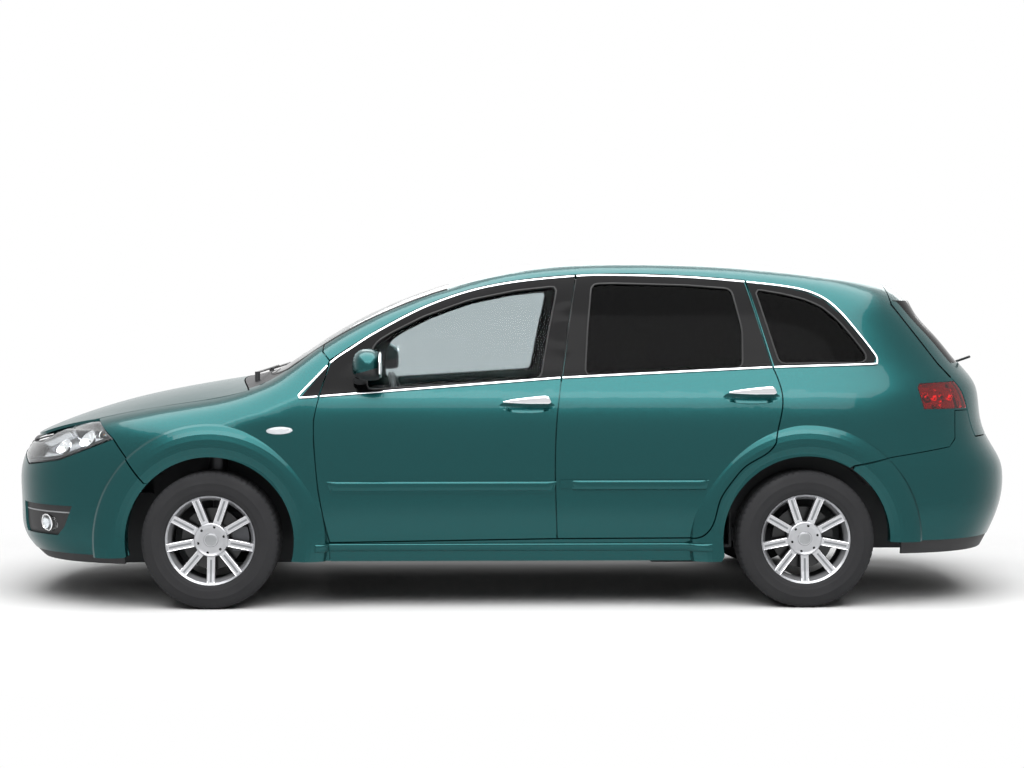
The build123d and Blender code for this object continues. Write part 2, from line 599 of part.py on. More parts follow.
def tail_lamps():
    lamp = minus(left_shell(0, "body") & side_cut(TAIL_LAMP, -1.5), left_shell(LAMP_DEPTH, "body"),
                 box(1700, 2300, -TAILGATE_HALF - SHUT_GAP, 10, 700, 1200), box(2104, 2300, -1000, 0, 700, 1200))
    return Compound(children=both(biggest(lamp)))


def tailgate():
    """Skin, window frame and inner panel of the lid, with the roof spoiler along its top."""
    split = 1395
    sides = [box(1900, 2450, s * (TAILGATE_HALF + 200), s * TAILGATE_HALF, 700, 1046) for s in (-1, 1)]
    lower = end_block(1, 0) & side_cut(TAILGATE, 0, 1000, -1000) & box(1700, 2450, -1000, 1000, 700, split)
    lower = minus(lower, *sides)
    skin_low = minus(lower, end_block(1, SKIN))
    upper = whole_shell(0, "spoiler") & side_cut(TAILGATE, 0, 1000, -1000) & box(1700, 1925, -1000, 1000, split, 1600)
    skin_up = minus(upper, whole_shell(30, "spoiler"))
    inside = end_block(1, SKIN) & side_cut(TAILGATE, -30, 1000, -1000) & box(1780, 2450, -1000, 1000, 700, split)
    inside = minus(inside, *[box(1900, 2450, s * 900, s * (TAILGATE_HALF - 30), 700, 1076) for s in (-1, 1)])
    frame = minus(inside, end_block(1, 34), box(1700, 2450, -1000, 1000, 700, 1070))
    panel = minus(inside, end_block(1, 52), box(1700, 2450, -1000, 1000, 1071, 1600))
    piece = skin_low + skin_up + frame + panel
    return biggest(minus(piece, rear_cut(TAIL_GLASS), box(1700, ROOF_END + SHUT_GAP, -ROOF_HALF - SHUT_GAP,
                                                          ROOF_HALF + SHUT_GAP, 1300, 1600)))


def rear_window():
    return biggest(minus(end_block(1, 4) & rear_cut(TAIL_GLASS), end_block(1, 9)))


# ---------------------------------------------------------------- underbody

def floor():
    """Floor pan, bulkhead, rails, strut towers, boot floor and rear wheel houses."""
    inner = left_shell(PILLAR, "body")
    pan = box(BULKHEAD_X, 1010, 5, -1000, FLOOR_Z - FLOOR_THICK, FLOOR_Z) & inner
    pan = minus(pan, box(-1100, 995, 10, -115, 0, FLOOR_Z + 5))
    tunnel = box(BULKHEAD_X, 1010, 5, -130, FLOOR_Z - 60, TUNNEL_Z)
    tunnel = minus(tunnel, box(-1100, 1100, 10, -115, 0, TUNNEL_Z - 15))
    bulkhead = box(BULKHEAD_X, BULKHEAD_X + 12, 5, -690, FLOOR_Z - FLOOR_THICK, COWL_Z)
    shelf = box(-1230, BULKHEAD_X + 12, 5, -690, COWL_Z - 15, COWL_Z)
    rail = box(-2190, BULKHEAD_X, -RAIL_Y, -450, RAIL_Z, 490)
    kick = box(BULKHEAD_X - 60, BULKHEAD_X, -RAIL_Y, -450, 250, 490)
    tower = minus(box(-1470, -1286, -450, -650, 700, 800), rod((-1378, -565, 600), (-1378, -565, 785), 62))
    apron = box(-1700, BULKHEAD_X, -440, -452, 490, 800)
    step = box(1000, 1012, 5, -780, FLOOR_Z - FLOOR_THICK, BOOT_Z)
    boot = box(1000, 2220, 5, -780, BOOT_Z - 12, BOOT_Z)
    house = minus(across(AXLE_REAR, HUB_Z, ARCH_RADIUS + 14, -WHEELHOUSE_Y, -860),
                  across(AXLE_REAR, HUB_Z, ARCH_RADIUS + 2, -WHEELHOUSE_Y - 10, -1000),
                  box(900, 1800, -500, -1000, -200, BOOT_Z - 12))
    low_house = minus(box(960, 1690, -WHEELHOUSE_Y, -WHEELHOUSE_Y - 10, 420, BOOT_Z),
                      across(AXLE_REAR, HUB_Z, 60, -500, -900))
    boot = minus(boot, across(AXLE_REAR, HUB_Z, ARCH_RADIUS + 2, -WHEELHOUSE_Y - 10, -1000))
    spare = box(1640, 2180, 5, -330, 300, BOOT_Z)
    spare = minus(spare, box(1652, 2168, 10, -318, 312, BOOT_Z + 20))
    boot = minus(boot, box(1652, 2168, 10, -318, 500, BOOT_Z + 20))
    rear_rail = box(1000, 2200, -450, -530, REAR_RAIL_Z, BOOT_Z)
    upright = minus(end_block(1, 20) & box(2000, 2400, 5, -645, BOOT_Z - 12, 755), end_block(1, 50))
    cross = minus(end_block(1, PANEL) & box(2150, 2420, 5, -620, 470, BOOT_Z), end_block(1, 90))
    half = pan + tunnel + bulkhead + shelf + rail + kick + tower + apron + step
    rear = boot + house + low_house + spare + rear_rail
    rear = rear & (inner + (box(2000, 2420, 5, -700, 200, 1000) & end_block(1, PANEL)))
    half = minus(half, across(AXLE_REAR, HUB_Z, ARCH_RADIUS + 2, -WHEELHOUSE_Y - 10, -1000))
    half = half + rear + upright + cross
    half = biggest(minus(half, box(-3000, 3000, 0, 100, 0, 2000)))
    return biggest(half + other(half))


def wheel_arch_liners():
    """Half-round tubs over the front wheels."""
    tub = minus(across(AXLE_FRONT, HUB_Z, 396, -452, -900), across(AXLE_FRONT, HUB_Z, 391, -400, -950),
                box(-1900, -900, -300, -1000, -200, 330), box(-1480, -1276, -300, -660, 600, 900),
                box(BULKHEAD_X, -900, -300, -1000, 200, 900), box(-1900, -1655, -300, -1000, 200, 900))
    tub = tub & left_shell(PANEL, "front")
    return Compound(children=both(biggest(tub)))


# ---------------------------------------------------------------- wheels and running gear
def tyre(x, s):
    """Tyre section turned round the wheel axis, with its air space."""
    h, t = TYRE_WIDTH / 2, RIM_WIDTH / 2
    wall = 14
    outside = [(SEAT_RADIUS, h - 22), (RIM_RADIUS, t - 7), (RIM_RADIUS, t), (RIM_RADIUS + 14, h - 8), (258, h),
               (285, h - 4), (303, h - 16), (TYRE_RADIUS, h - 40)]
    inside = [(TYRE_RADIUS - 17, h - 36), (285 - wall, h - wall - 6), (258 - wall / 2, h - wall),
              (RIM_RADIUS + 14, h - 8 - wall), (SEAT_RADIUS, h - 40)]
    ring = outside + [(r, -w) for r, w in reversed(outside)]
    ring += [(r, -w) for r, w in reversed(inside)] + inside
    face = Face(Wire.make_polygon([Vector(x + r, s * HUB_Y + w, HUB_Z) for r, w in ring], close=True))
    return solid_of(revolve(face, Axis((x, 0, HUB_Z), (0, 1, 0)), 360))


def wheel(x, s):
    """Nine-spoke wheel with its brake disc on the hub; s is the side, -1 left."""
    def out(v):
        return s * (HUB_Y + v)

    def disc(profile):
        face = Face(Wire.make_polygon([Vector(x + r, out(w), HUB_Z) for r, w in profile], close=True))
        return solid_of(revolve(face, Axis((x, 0, HUB_Z), (0, 1, 0)), 360))

    h, t = TYRE_WIDTH / 2, RIM_WIDTH / 2
    barrel = disc([(RIM_RADIUS, t), (RIM_RADIUS, t - 7), (SEAT_RADIUS, h - 22), (SEAT_RADIUS, h - 40), (186, h - 60),
                   (186, 40 - h), (SEAT_RADIUS, 40 - h), (SEAT_RADIUS, 22 - h), (RIM_RADIUS, 7 - t), (RIM_RADIUS, -t),
                   (RIM_RADIUS - 6, -t), (195, 26 - h), (178, 46 - h), (178, h - 66), (194, h - 30),
                   (RIM_RADIUS - 6, t)])
    hub = disc([(0, 8), (0, 58), (30, 58), (34, 52), (76, 50), (80, 40), (80, 8)])
    piece = barrel + hub
    for k in range(SPOKES):
        turn_by = 180 + 360 * k / SPOKES
        bar = Wire.make_polygon([Vector(0, 0, r) + Vector(0, w, 0) for r, w in
                                 ((60, 50), (150, 62), (196, 74), (196, 50), (150, 34), (60, 16))], close=True)
        spoke = extrude(Face(bar), SPOKE_WIDTH / 2, dir=(1, 0, 0), both=True)
        if s < 0:
            spoke = mirror(spoke, Plane.XZ)
        spoke = Pos(x, s * HUB_Y, HUB_Z) * (Rot(0, turn_by, 0) * spoke)
        piece = piece + spoke
    brake = disc([(30, -26), (30, 8), (70, 8), (70, -2), (DISC_RADIUS, -2), (DISC_RADIUS, -2 - DISC_THICK),
                  (70, -2 - DISC_THICK), (70, -26)])
    piece = piece + brake
    holes = []
    for k in range(BOLTS):
        a = radians(90 + 360 * k / BOLTS)
        cx, cz = x + BOLT_PCD / 2 * cos(a), HUB_Z + BOLT_PCD / 2 * sin(a)
        holes.append(rod((cx, out(20), cz), (cx, out(70), cz), BOLT_HOLE / 2))
    holes.append(rod((x, out(-40), HUB_Z), (x, out(BORE_DEPTH), HUB_Z), CENTRE_BORE / 2))
    return biggest(minus(piece, *holes))


def knuckle(s):
    """Front upright with its brake caliper."""
    x = AXLE_FRONT
    body = box(x - 45, x + 45, s * 668, s * 704, HUB_Z - 105, HUB_Z + 105)
    stub = rod((x, s * 660, HUB_Z), (x, s * (HUB_Y + BORE_DEPTH - SEAT_FIT), HUB_Z), STUB_RADIUS)
    arm = box(x + 30, x + 150, s * 650, s * 680, HUB_Z - 20, HUB_Z + 10)
    bridge = box(x + 92, x + 168, s * 700, s * (HUB_Y + 15), HUB_Z - 55, HUB_Z + 55)
    slot = box(x + 60, x + DISC_RADIUS + 6, s * (HUB_Y - 2 - DISC_THICK - 5), s * (HUB_Y + 4), HUB_Z - 120, HUB_Z + 120)
    link = box(x + 40, x + 120, s * 680, s * 712, HUB_Z - 50, HUB_Z + 50)
    caliper = minus(bridge & across(x, HUB_Z, 168, s * 640, s * 860), slot)
    return biggest(body + stub + arm + link + caliper)


def front_subframe():
    """Cross-member, lower arms and spring struts."""
    x = AXLE_FRONT
    member = rounded(x - 60, x + 180, -400, 400, 215, 290, 20)
    legs = [box(x + 40, x + 120, s * 390, s * 440, 215, RAIL_Z) for s in (-1, 1)]
    piece = member + legs[0] + legs[1]
    for s in (-1, 1):
        piece = piece + rod((x + 10, s * 380, 240), (x, s * 650, 190), 16)
        piece = piece + rod((x, s * KINGPIN_Y, 172), (x, s * KINGPIN_Y, HUB_Z - 105 - SEAT_FIT), 20)
        piece = piece + rod((x, s * 640, 190), (x, s * KINGPIN_Y, 188), 14)
        strut = rod((x, s * 565, 300), (x, s * 565, 785), 26) + rod((x, s * 565, 520), (x, s * 565, 690), 44)
        foot = box(x - 20, x + 20, s * 540, s * 600, 225, 330)
        piece = piece + (strut + foot)
    return piece


def rear_axle():
    x = AXLE_REAR
    beam = rod((x - 40, -600, 300), (x - 40, 600, 300), 34)
    for s in (-1, 1):
        arm = box(x - 298, x + 30, s * 500, s * 560, 270, 330)
        hub = rod((x, s * 540, HUB_Z), (x, s * (HUB_Y + BORE_DEPTH - SEAT_FIT), HUB_Z), STUB_RADIUS)
        block = box(x - 60, x + 40, s * 560, s * 620, 250, 370)
        mount = box(x - 298, x - 238, s * 470, s * 515, 300, REAR_RAIL_Z)
        spring = rod((x, s * 490, 320), (x, s * 490, REAR_RAIL_Z), 38)
        beam = beam + arm + hub + block + mount + spring
    return beam


def engine():
    return rounded(-2020, -1480, -330, 330, 330, 790, 25) + box(-1700, -1480, -RAIL_Y, RAIL_Y, 420, 470)


def fuel_tank():
    return rounded(640, 960, -560, -150, 170, FLOOR_Z - FLOOR_THICK, 12)


def exhaust():
    pipe = rod((-1180, 60, 190), (1400, 60, 190), 28) + rod((1400, 60, 190), (1560, 420, 215), 28)
    box_ = rounded(1640, 1960, 345, 420, 150, 296, 30)
    pipe = pipe + rounded(1540, 1700, 380, 460, 160, 260, 20) + box_
    for x in (-300, 800):
        pipe = pipe + rod((x, 60, 200), (x, 60, TUNNEL_Z - 15), 6)
    return pipe


# ---------------------------------------------------------------- cabin
def seat(y):
    cushion = rounded(-180, 340, y - SEAT_HALF, y + SEAT_HALF, 380, 520, 45)
    back = Pos(376, y, 500) * Rot(0, 18, 0) * rounded(-50, 70, -240, 240, -40, 620, 40)
    rest = Pos(376, y, 500) * Rot(0, 18, 0) * (rounded(-30, 50, -120, 120, 660, 830, 30)
                                              + box(0, 12, -60, -48, 600, 680) + box(0, 12, 48, 60, 600, 680))
    rails = box(-160, 320, y - 200, y - 160, FLOOR_Z, 400) + box(-160, 320, y + 160, y + 200, FLOOR_Z, 400)
    return cushion + back + rest + rails


def front_seats():
    return Compound(children=seat(-SEAT_Y).solids() + seat(SEAT_Y).solids())


def rear_seat():
    cushion = rounded(560, 1000, -600, 600, TUNNEL_Z, 520, 45)
    cushion = cushion + box(700, 1000, -560, -135, FLOOR_Z, 420) + box(700, 1000, 135, 560, FLOOR_Z, 420)
    back = Pos(922, 0, 500) * Rot(0, 16, 0) * rounded(-60, 50, -600, 600, -40, 520, 40)
    piece = cushion + back
    for y in (-380, 0, 380):
        piece = piece + Pos(922, 0, 500) * Rot(0, 16, 0) * (rounded(-35, 35, y - 120, y + 120, 530, 660, 28)
                                                            + box(-6, 6, y - 50, y - 38, 500, 560)
                                                            + box(-6, 6, y + 38, y + 50, 500, 560))
    return piece


def dashboard():
    """Dash, centre console and steering column."""
    upper = rounded(-988, -640, -690, 690, 700, 930, 50) + box(-988, -900, -660, 660, 640, 905)
    console = rounded(-760, -60, -95, 95, TUNNEL_Z, 560, 25) + box(-760, -200, -90, 90, TUNNEL_Z, 500)
    stack = rounded(-900, -660, -140, 140, TUNNEL_Z, 800, 30)
    low, top = (Vector(x, -SEAT_Y, z) for x, z in (COLUMN_LOW, COLUMN_TOP))
    column = rod(low, top + (top - low).normalized() * (COLUMN_GAP - SEAT_FIT), 32)
    return upper + console + stack + column


def steering_wheel():
    """Rim, three spokes and boss, square to the steering column."""
    low, top = (Vector(x, -SEAT_Y, z) for x, z in (COLUMN_LOW, COLUMN_TOP))
    n = (top - low).normalized()
    centre = top + n * (COLUMN_GAP + 34)
    plane = Plane(origin=centre, x_dir=(0, 1, 0), z_dir=n)
    rim = plane * Torus(185, 15)
    boss = plane * (Pos(0, 0, -12) * Cylinder(62, 44))
    spokes = [plane * (Rot(0, 0, a) * Pos(115, 0, -10) * Box(140, 36, 12)) for a in (0, 180, 270)]
    return rim + boss + spokes[0] + spokes[1] + spokes[2]


# ---------------------------------------------------------------- fittings
def wipers():
    arms = []
    for y in (-520, 60):
        arm = rod((-1200, y, 1020), (-1200, y, 1066), 12) + rod((-1200, y, 1062), (-1150, y + 440, 1082), 5)
        arms.append(biggest(minus(arm, whole_shell(0, "screen"))))
    return arms


def mirror_left():
    outline = [[(-606, 1048), (-601, 1100), (-608, 1155), (-640, 1178), (-690, 1176), (-722, 1152), (-733, 1105)],
               [(-733, 1105), (-726, 1062), (-690, 1041), (-640, 1036), (-606, 1048)]]
    shell = rounded(-735, -600, -1010, -850, 1035, 1180, 40) & side_cut(outline, 0, -800, -1050)
    arm = box(-730, -680, -870, -812, 1012, 1050)
    return minus(shell + arm, left_shell(0, "front door"))


FUEL_FLAP = straight((1482, 866), (1482, 1000), (1622, 1000), (1622, 866))


def fuel_flap():
    """Flap in the right rear quarter."""
    lid = left_shell(0, "body") & side_cut(FUEL_FLAP, -FLAP_GAP / 2)
    return other(biggest(minus(lid, left_shell(8, "body"))))


def fuel_pocket():
    """Recess behind the flap, leaving the latch post that the flap rests on."""
    post = left_shell(8 + SEAT_FIT, "body") & box(1602, 1614, -600, -1000, 922, 944)
    return minus(side_cut(FUEL_FLAP, FLAP_GAP / 2), left_shell(48, "body"), post)


def rear_wiper():
    pivot = rod((2168, 0, 1080), (2206, 0, 1092), 14)
    return biggest(minus(pivot + rod((2200, 0, 1090), (2178, -420, 1132), 6), end_block(1, 0)))


def side_indicators():
    lamp = left_shell(-3, "front") & across(-1061, 811, 22, -700, -1000)
    return Compound(children=both(biggest(minus(lamp, left_shell(0, "front")))))


def export(name, shape):
    shape = Compound(children=list(shape)) if isinstance(shape, list) else shape
    export_step(shape, f"parts/{name}.step")


def main():
    side_left = body_side()
    export("body_side_left", side_left)
    export("body_side_right", biggest(other(side_left) - other(fuel_pocket())))
    export("fuel_flap", fuel_flap())
    export("roof", roof_panel())
    export("floor", floor())
    left_wing = wing()
    export("front_wings", both(left_wing))
    export("bonnet", bonnet())
    export("scuttle", scuttle())
    export("windscreen", windscreen())
    export("quarter_windows", both(side_glass(QUARTER_GLASS, "body")))
    export("front_bumper", front_bumper())
    export("front_grille", front_grille())
    export("fog_lamps", fog_lamps())
    export("headlamps", headlamps())
    export("front_panel", front_panel())
    export("rear_bumper", rear_bumper())
    export("lower_skirts", lower_skirts())
    export("tail_lamps", tail_lamps())
    export("tailgate", tailgate())
    export("rear_window", rear_window())
    export("rear_wiper", rear_wiper())
    export("wipers", wipers())
    export("side_indicators", side_indicators())
    export("wheel_arch_liners", wheel_arch_liners())
    export("front_subframe", front_subframe())
    export("rear_axle", rear_axle())
    export("engine", engine())
    export("fuel_tank", fuel_tank())
    export("exhaust", exhaust())
    export("front_seats", front_seats())
    export("rear_seat", rear_seat())
    export("dashboard", dashboard())
    export("steering_wheel", steering_wheel())
    for which in ("front", "rear"):
        panel = door(which)
        glass = side_glass(GLASSES[which], which + " door")
        pull = handle(which)
        for hand, turn in (("left", lambda s: s), ("right", other)):
            export(f"{which}_{hand}_door", turn(panel))
            export(f"{which}_{hand}_glass", turn(glass))
            export(f"{which}_{hand}_handle", turn(pull))
    mirror_unit = mirror_left()
    export("mirror_left", mirror_unit)
    export("mirror_right", other(mirror_unit))
    for end, x in (("front", AXLE_FRONT), ("rear", AXLE_REAR)):
        for hand, s in (("left", -1), ("right", 1)):
            export(f"{end}_{hand}_tyre", tyre(x, s))
            export(f"{end}_{hand}_wheel", wheel(x, s))
    export("knuckle_left", knuckle(-1))
    export("knuckle_right", knuckle(1))


if __name__ == "__main__":
    main()
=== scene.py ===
"""Looks of a compact five-door estate car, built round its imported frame.

The frame gives the rigid pieces at their real size. This script dresses them and adds what the frame
leaves out: window trim, lamp internals, tyre treads, wheel detail, cabin upholstery and trim.
Lengths are in metres: the nose points to -X, the car's right side to +Y, up is +Z.
"""
import json
import logging
import math
from dataclasses import dataclass, field
from enum import Enum
from typing import Callable, Iterable, Sequence

import bmesh
import bpy
from bpy.types import Material, Mesh, Node, Object
from mathutils import Matrix, Vector, geometry
from mathutils.bvhtree import BVHTree


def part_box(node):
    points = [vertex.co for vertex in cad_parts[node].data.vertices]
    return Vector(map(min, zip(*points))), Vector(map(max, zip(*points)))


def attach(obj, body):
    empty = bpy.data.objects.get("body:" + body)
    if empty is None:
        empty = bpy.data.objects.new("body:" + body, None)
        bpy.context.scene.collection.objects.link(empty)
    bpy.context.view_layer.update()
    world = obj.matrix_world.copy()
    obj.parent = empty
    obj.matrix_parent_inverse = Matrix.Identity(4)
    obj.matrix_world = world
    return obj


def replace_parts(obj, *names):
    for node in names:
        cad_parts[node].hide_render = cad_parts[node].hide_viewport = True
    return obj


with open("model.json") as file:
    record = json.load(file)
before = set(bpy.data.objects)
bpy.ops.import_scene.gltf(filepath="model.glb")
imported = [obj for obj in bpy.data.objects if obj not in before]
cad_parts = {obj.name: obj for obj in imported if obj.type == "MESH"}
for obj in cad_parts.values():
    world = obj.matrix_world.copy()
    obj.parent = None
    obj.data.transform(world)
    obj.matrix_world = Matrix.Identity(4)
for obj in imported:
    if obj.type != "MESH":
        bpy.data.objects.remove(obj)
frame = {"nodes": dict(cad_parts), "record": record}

log = logging.getLogger("estate")
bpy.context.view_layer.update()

Colour = tuple[float, float, float]
Flat = tuple[float, float]
Place = tuple[float, float, float]
Spot = tuple[Vector, Vector]        # a point of a surface and its normal there
Socket = tuple[Node, str | int]     # a node and one of its outputs

SHARP = math.radians(40)            # edges over this angle stay sharp in smooth shading
BAND = 0.31                         # distance between the bands of Blender's wave texture at scale 1
UP, DOWN = Vector((0, 0, 1)), Vector((0, 0, -1))
AHEAD, BACK = Vector((-1, 0, 0)), Vector((1, 0, 0))
LEFT, RIGHT = Vector((0, -1, 0)), Vector((0, 1, 0))


def shade(red: int, green: int, blue: int) -> Colour:
    """A colour given in screen values, 0 to 255, as the linear values that shaders take."""
    shares = (c / 255 for c in (red, green, blue))
    return tuple(c / 12.92 if c <= 10 / 255 else ((c + 0.055) / 1.055) ** 2.4 for c in shares)


class Side(Enum):
    """The car's two sides, by the sign of Y."""
    LEFT = -1
    RIGHT = 1

    @property
    def word(self) -> str:
        """The side's name in node and body names."""
        return self.name.lower()


class End(Enum):
    """The car's two ends, by the sign of X."""
    FRONT = -1
    REAR = 1

    @property
    def word(self) -> str:
        """The end's name in node and body names."""
        return self.name.lower()


# ---------------------------------------------------------------------------------------- finishes
class Tree:
    """A node tree, and short ways to add to it."""

    def __init__(self, tree: bpy.types.NodeTree) -> None:
        """Starts with the tree emptied."""
        self.tree = tree
        self.tree.nodes.clear()

    def add(self, kind: str, values: dict | None = None, **settings: object) -> Node:
        """Adds a node.

        Args:
            kind: Blender's node type.
            values: input socket name or number to its fixed value.
            **settings: properties of the node itself.

        Returns:
            The new node.
        """
        node = self.tree.nodes.new(kind)
        for name, value in settings.items():
            setattr(node, name, value)
        for name, value in (values or {}).items():
            node.inputs[name].default_value = value
        return node

    def link(self, source: Node, out: str | int, target: Node, into: str | int) -> None:
        """Joins an output of `source` to an input of `target`."""
        self.tree.links.new(source.outputs[out], target.inputs[into])

    def folded(self, operation: str, first: Socket, *others: Socket) -> Node:
        """Combines outputs by a math operation, one after the other.

        Args:
            operation: Blender's name for it.
            first: a node and one of its outputs.
            *others: the outputs that are added to it in turn.

        Returns:
            The last math node.
        """
        for other in others:
            both = self.add("ShaderNodeMath", operation=operation)
            self.link(*first, both, 0)
            self.link(*other, both, 1)
            first = (both, 0)
        return first[0]

    def pale_rays(self) -> Node:
        """One for the rays that should see a white background, zero for those that light the object."""
        path = self.add("ShaderNodeLightPath")
        rays = ("Is Camera Ray", "Is Glossy Ray", "Is Transmission Ray")
        return self.folded("MAXIMUM", *((path, ray) for ray in rays))


class Graph(Tree):
    """A material's node tree with one Principled shader."""

    def __init__(self, name: str) -> None:
        """Starts the material called `name`."""
        self.material = bpy.data.materials.new(name)
        self.material.use_nodes = True
        super().__init__(self.material.node_tree)
        self.shader = self.add("ShaderNodeBsdfPrincipled")
        self.output = self.add("ShaderNodeOutputMaterial")
        self.link(self.shader, "BSDF", self.output, "Surface")
        self.place = self.add("ShaderNodeTexCoord")

    def set(self, values: dict[str, object]) -> None:
        """Gives inputs of the shader their fixed values."""
        for name, value in values.items():
            self.shader.inputs[name].default_value = value

    def spread(self, node: Node) -> Node:
        """Lays a texture or mapping node over the object's own coordinates."""
        self.link(self.place, "Object", node, "Vector")
        return node

    def noise(self, size: float, detail: float) -> Node:
        """Noise whose grains are about `size` metres across."""
        mapping = self.spread(self.add("ShaderNodeMapping", {"Scale": (1 / size,) * 3}))
        grain = self.add("ShaderNodeTexNoise", {"Scale": 1.0, "Detail": detail, "Roughness": 0.55})
        self.link(mapping, "Vector", grain, "Vector")
        return grain

    def bump(self, source: Node, out: str | int, strength: float, depth: float) -> None:
        """Raises the surface by `depth` metres where the source is high."""
        node = self.add("ShaderNodeBump", {"Strength": strength, "Distance": depth})
        self.link(source, out, node, "Height")
        self.link(node, "Normal", self.shader, "Normal")

    def mottle(self, source: Node, out: str | int, dark: Colour, light: Colour,
               low: float = 0.35, high: float = 0.65) -> None:
        """Runs the colour from dark to light as the source goes from low to high."""
        ramp = self.add("ShaderNodeValToRGB")
        for stop, place, colour in zip(ramp.color_ramp.elements, (low, high), (dark, light)):
            stop.position = place
            stop.color = (*colour, 1)
        self.link(source, out, ramp, "Fac")
        self.link(ramp, "Color", self.shader, "Base Color")

    def uneven_gloss(self, source: Node, out: str | int, low: float, high: float) -> None:
        """Runs the roughness from low to high with the source."""
        ends = {"From Min": 0.3, "From Max": 0.7, "To Min": low, "To Max": high}
        span = self.add("ShaderNodeMapRange", ends)
        self.link(source, out, span, "Value")
        self.link(span, "Result", self.shader, "Roughness")


def tinted(colour: Colour, amount: float) -> Colour:
    """The colour made lighter (amount above 1) or darker (below 1)."""
    return tuple(min(1.0, c * amount) for c in colour)


@dataclass(frozen=True)
class Finish:
    """A plain surface: colour with a little mottling, grain and uneven gloss."""
    name: str
    colour: Colour
    roughness: float = 0.5
    metallic: float = 0.0
    coat: float = 0.0
    specular: float = 0.5
    grain: float = 0.0
    grain_size: float = 0.001
    uneven: float = 0.06

    def graph(self) -> Graph:
        """A material with the finish's own gloss and coat."""
        graph = Graph(self.name)
        graph.set({"Metallic": self.metallic, "Roughness": self.roughness,
                   "Specular IOR Level": self.specular, "Coat Weight": self.coat, "Coat Roughness": 0.03})
        return graph

    def build(self) -> Material:
        """The finish as a material."""
        graph = self.graph()
        cloud = graph.noise(0.14, 3)
        graph.mottle(cloud, "Fac", tinted(self.colour, 1 - self.uneven), tinted(self.colour, 1 + self.uneven))
        graph.uneven_gloss(cloud, "Fac", self.roughness * 0.92, min(1.0, self.roughness * 1.08))
        self.relief(graph)
        return graph.material

    def relief(self, graph: Graph) -> None:
        """Adds the fine grain."""
        if self.grain:
            graph.bump(graph.noise(self.grain_size, 2), "Fac", 0.6, self.grain)


@dataclass(frozen=True)
class Lacquer(Finish):
    """Metallic paint: fine flakes under a clear coat, with a faint orange peel."""
    flake: float = 0.0007

    def build(self) -> Material:
        """The paint as a material."""
        graph = self.graph()
        flakes = graph.spread(graph.add("ShaderNodeTexVoronoi", {"Scale": 1 / self.flake}))
        graph.mottle(flakes, "Color", tinted(self.colour, 0.86), tinted(self.colour, 1.16), low=0.1, high=0.9)
        graph.bump(graph.noise(0.004, 1), "Fac", 0.03, 0.0002)
        return graph.material


@dataclass(frozen=True)
class Weave(Finish):
    """Cloth: crossed threads with a soft sheen."""
    thread: float = 0.0016
    sheen: float = 0.35

    def relief(self, graph: Graph) -> None:
        """Adds warp and weft."""
        graph.set({"Sheen Weight": self.sheen, "Sheen Roughness": 0.45})
        threads = []
        size = {"Scale": BAND / self.thread, "Distortion": 0.4, "Detail": 1}
        for turn in ((0, 0, 0), (0, 0, math.pi / 2), (0, math.pi / 2, 0)):
            spin = graph.spread(graph.add("ShaderNodeMapping", {"Rotation": turn}))
            band = graph.add("ShaderNodeTexWave", size)
            graph.link(spin, "Vector", band, "Vector")
            threads.append((band, "Fac"))
        graph.bump(graph.folded("ADD", *threads), 0, 0.5, 0.0005)


@dataclass(frozen=True)
class Glazing:
    """Glass or a clear moulding, tinted through its thickness."""
    name: str
    colour: Colour
    roughness: float = 0.0
    ior: float = 1.45
    ripple: float = 0.0
    ripple_size: float = 0.01

    def build(self) -> Material:
        """The glass as a material."""
        graph = Graph(self.name)
        graph.set({"Base Color": (*self.colour, 1), "Transmission Weight": 1.0, "Roughness": self.roughness,
                   "IOR": self.ior})
        if self.ripple:
            size = {"Scale": BAND / self.ripple_size, "Distortion": 0.0}
            bands = graph.spread(graph.add("ShaderNodeTexWave", size, bands_direction="Z"))
            graph.bump(bands, "Fac", 0.5, self.ripple)
        return graph.material


@dataclass(frozen=True)
class WheelPaint(Finish):
    """Silver on the wheel's face, darkening deep inside the barrel: painted shade together with brake dust.
    """
    plane: float = 0.0      # how far the face stands from the car's middle
    fade: float = 0.02      # depth over which the painted shade and brake dust come in

    def build(self) -> Material:
        """The wheel's finish as a material."""
        graph = self.graph()
        split = graph.spread(graph.add("ShaderNodeSeparateXYZ"))
        depth = graph.add("ShaderNodeMath", {1: 0.0}, operation="ABSOLUTE")
        graph.link(split, "Y", depth, 0)
        ends = {"From Min": self.plane - self.fade / 2, "From Max": self.plane + self.fade}
        reach = graph.add("ShaderNodeMapRange", ends)
        graph.link(depth, 0, reach, "Value")
        # Painted shade with brake dust: the colour runs from the silver to near black deeper inside the
        # barrel, broken by noise.
        shade_and_dust = graph.add("ShaderNodeMath", {1: 0.25}, operation="MULTIPLY_ADD")
        graph.link(graph.noise(0.02, 4), "Fac", shade_and_dust, 0)
        graph.link(reach, "Result", shade_and_dust, 2)
        graph.mottle(shade_and_dust, 0, tinted(self.colour, 0.05), self.colour, low=0.3, high=1.0)
        return graph.material


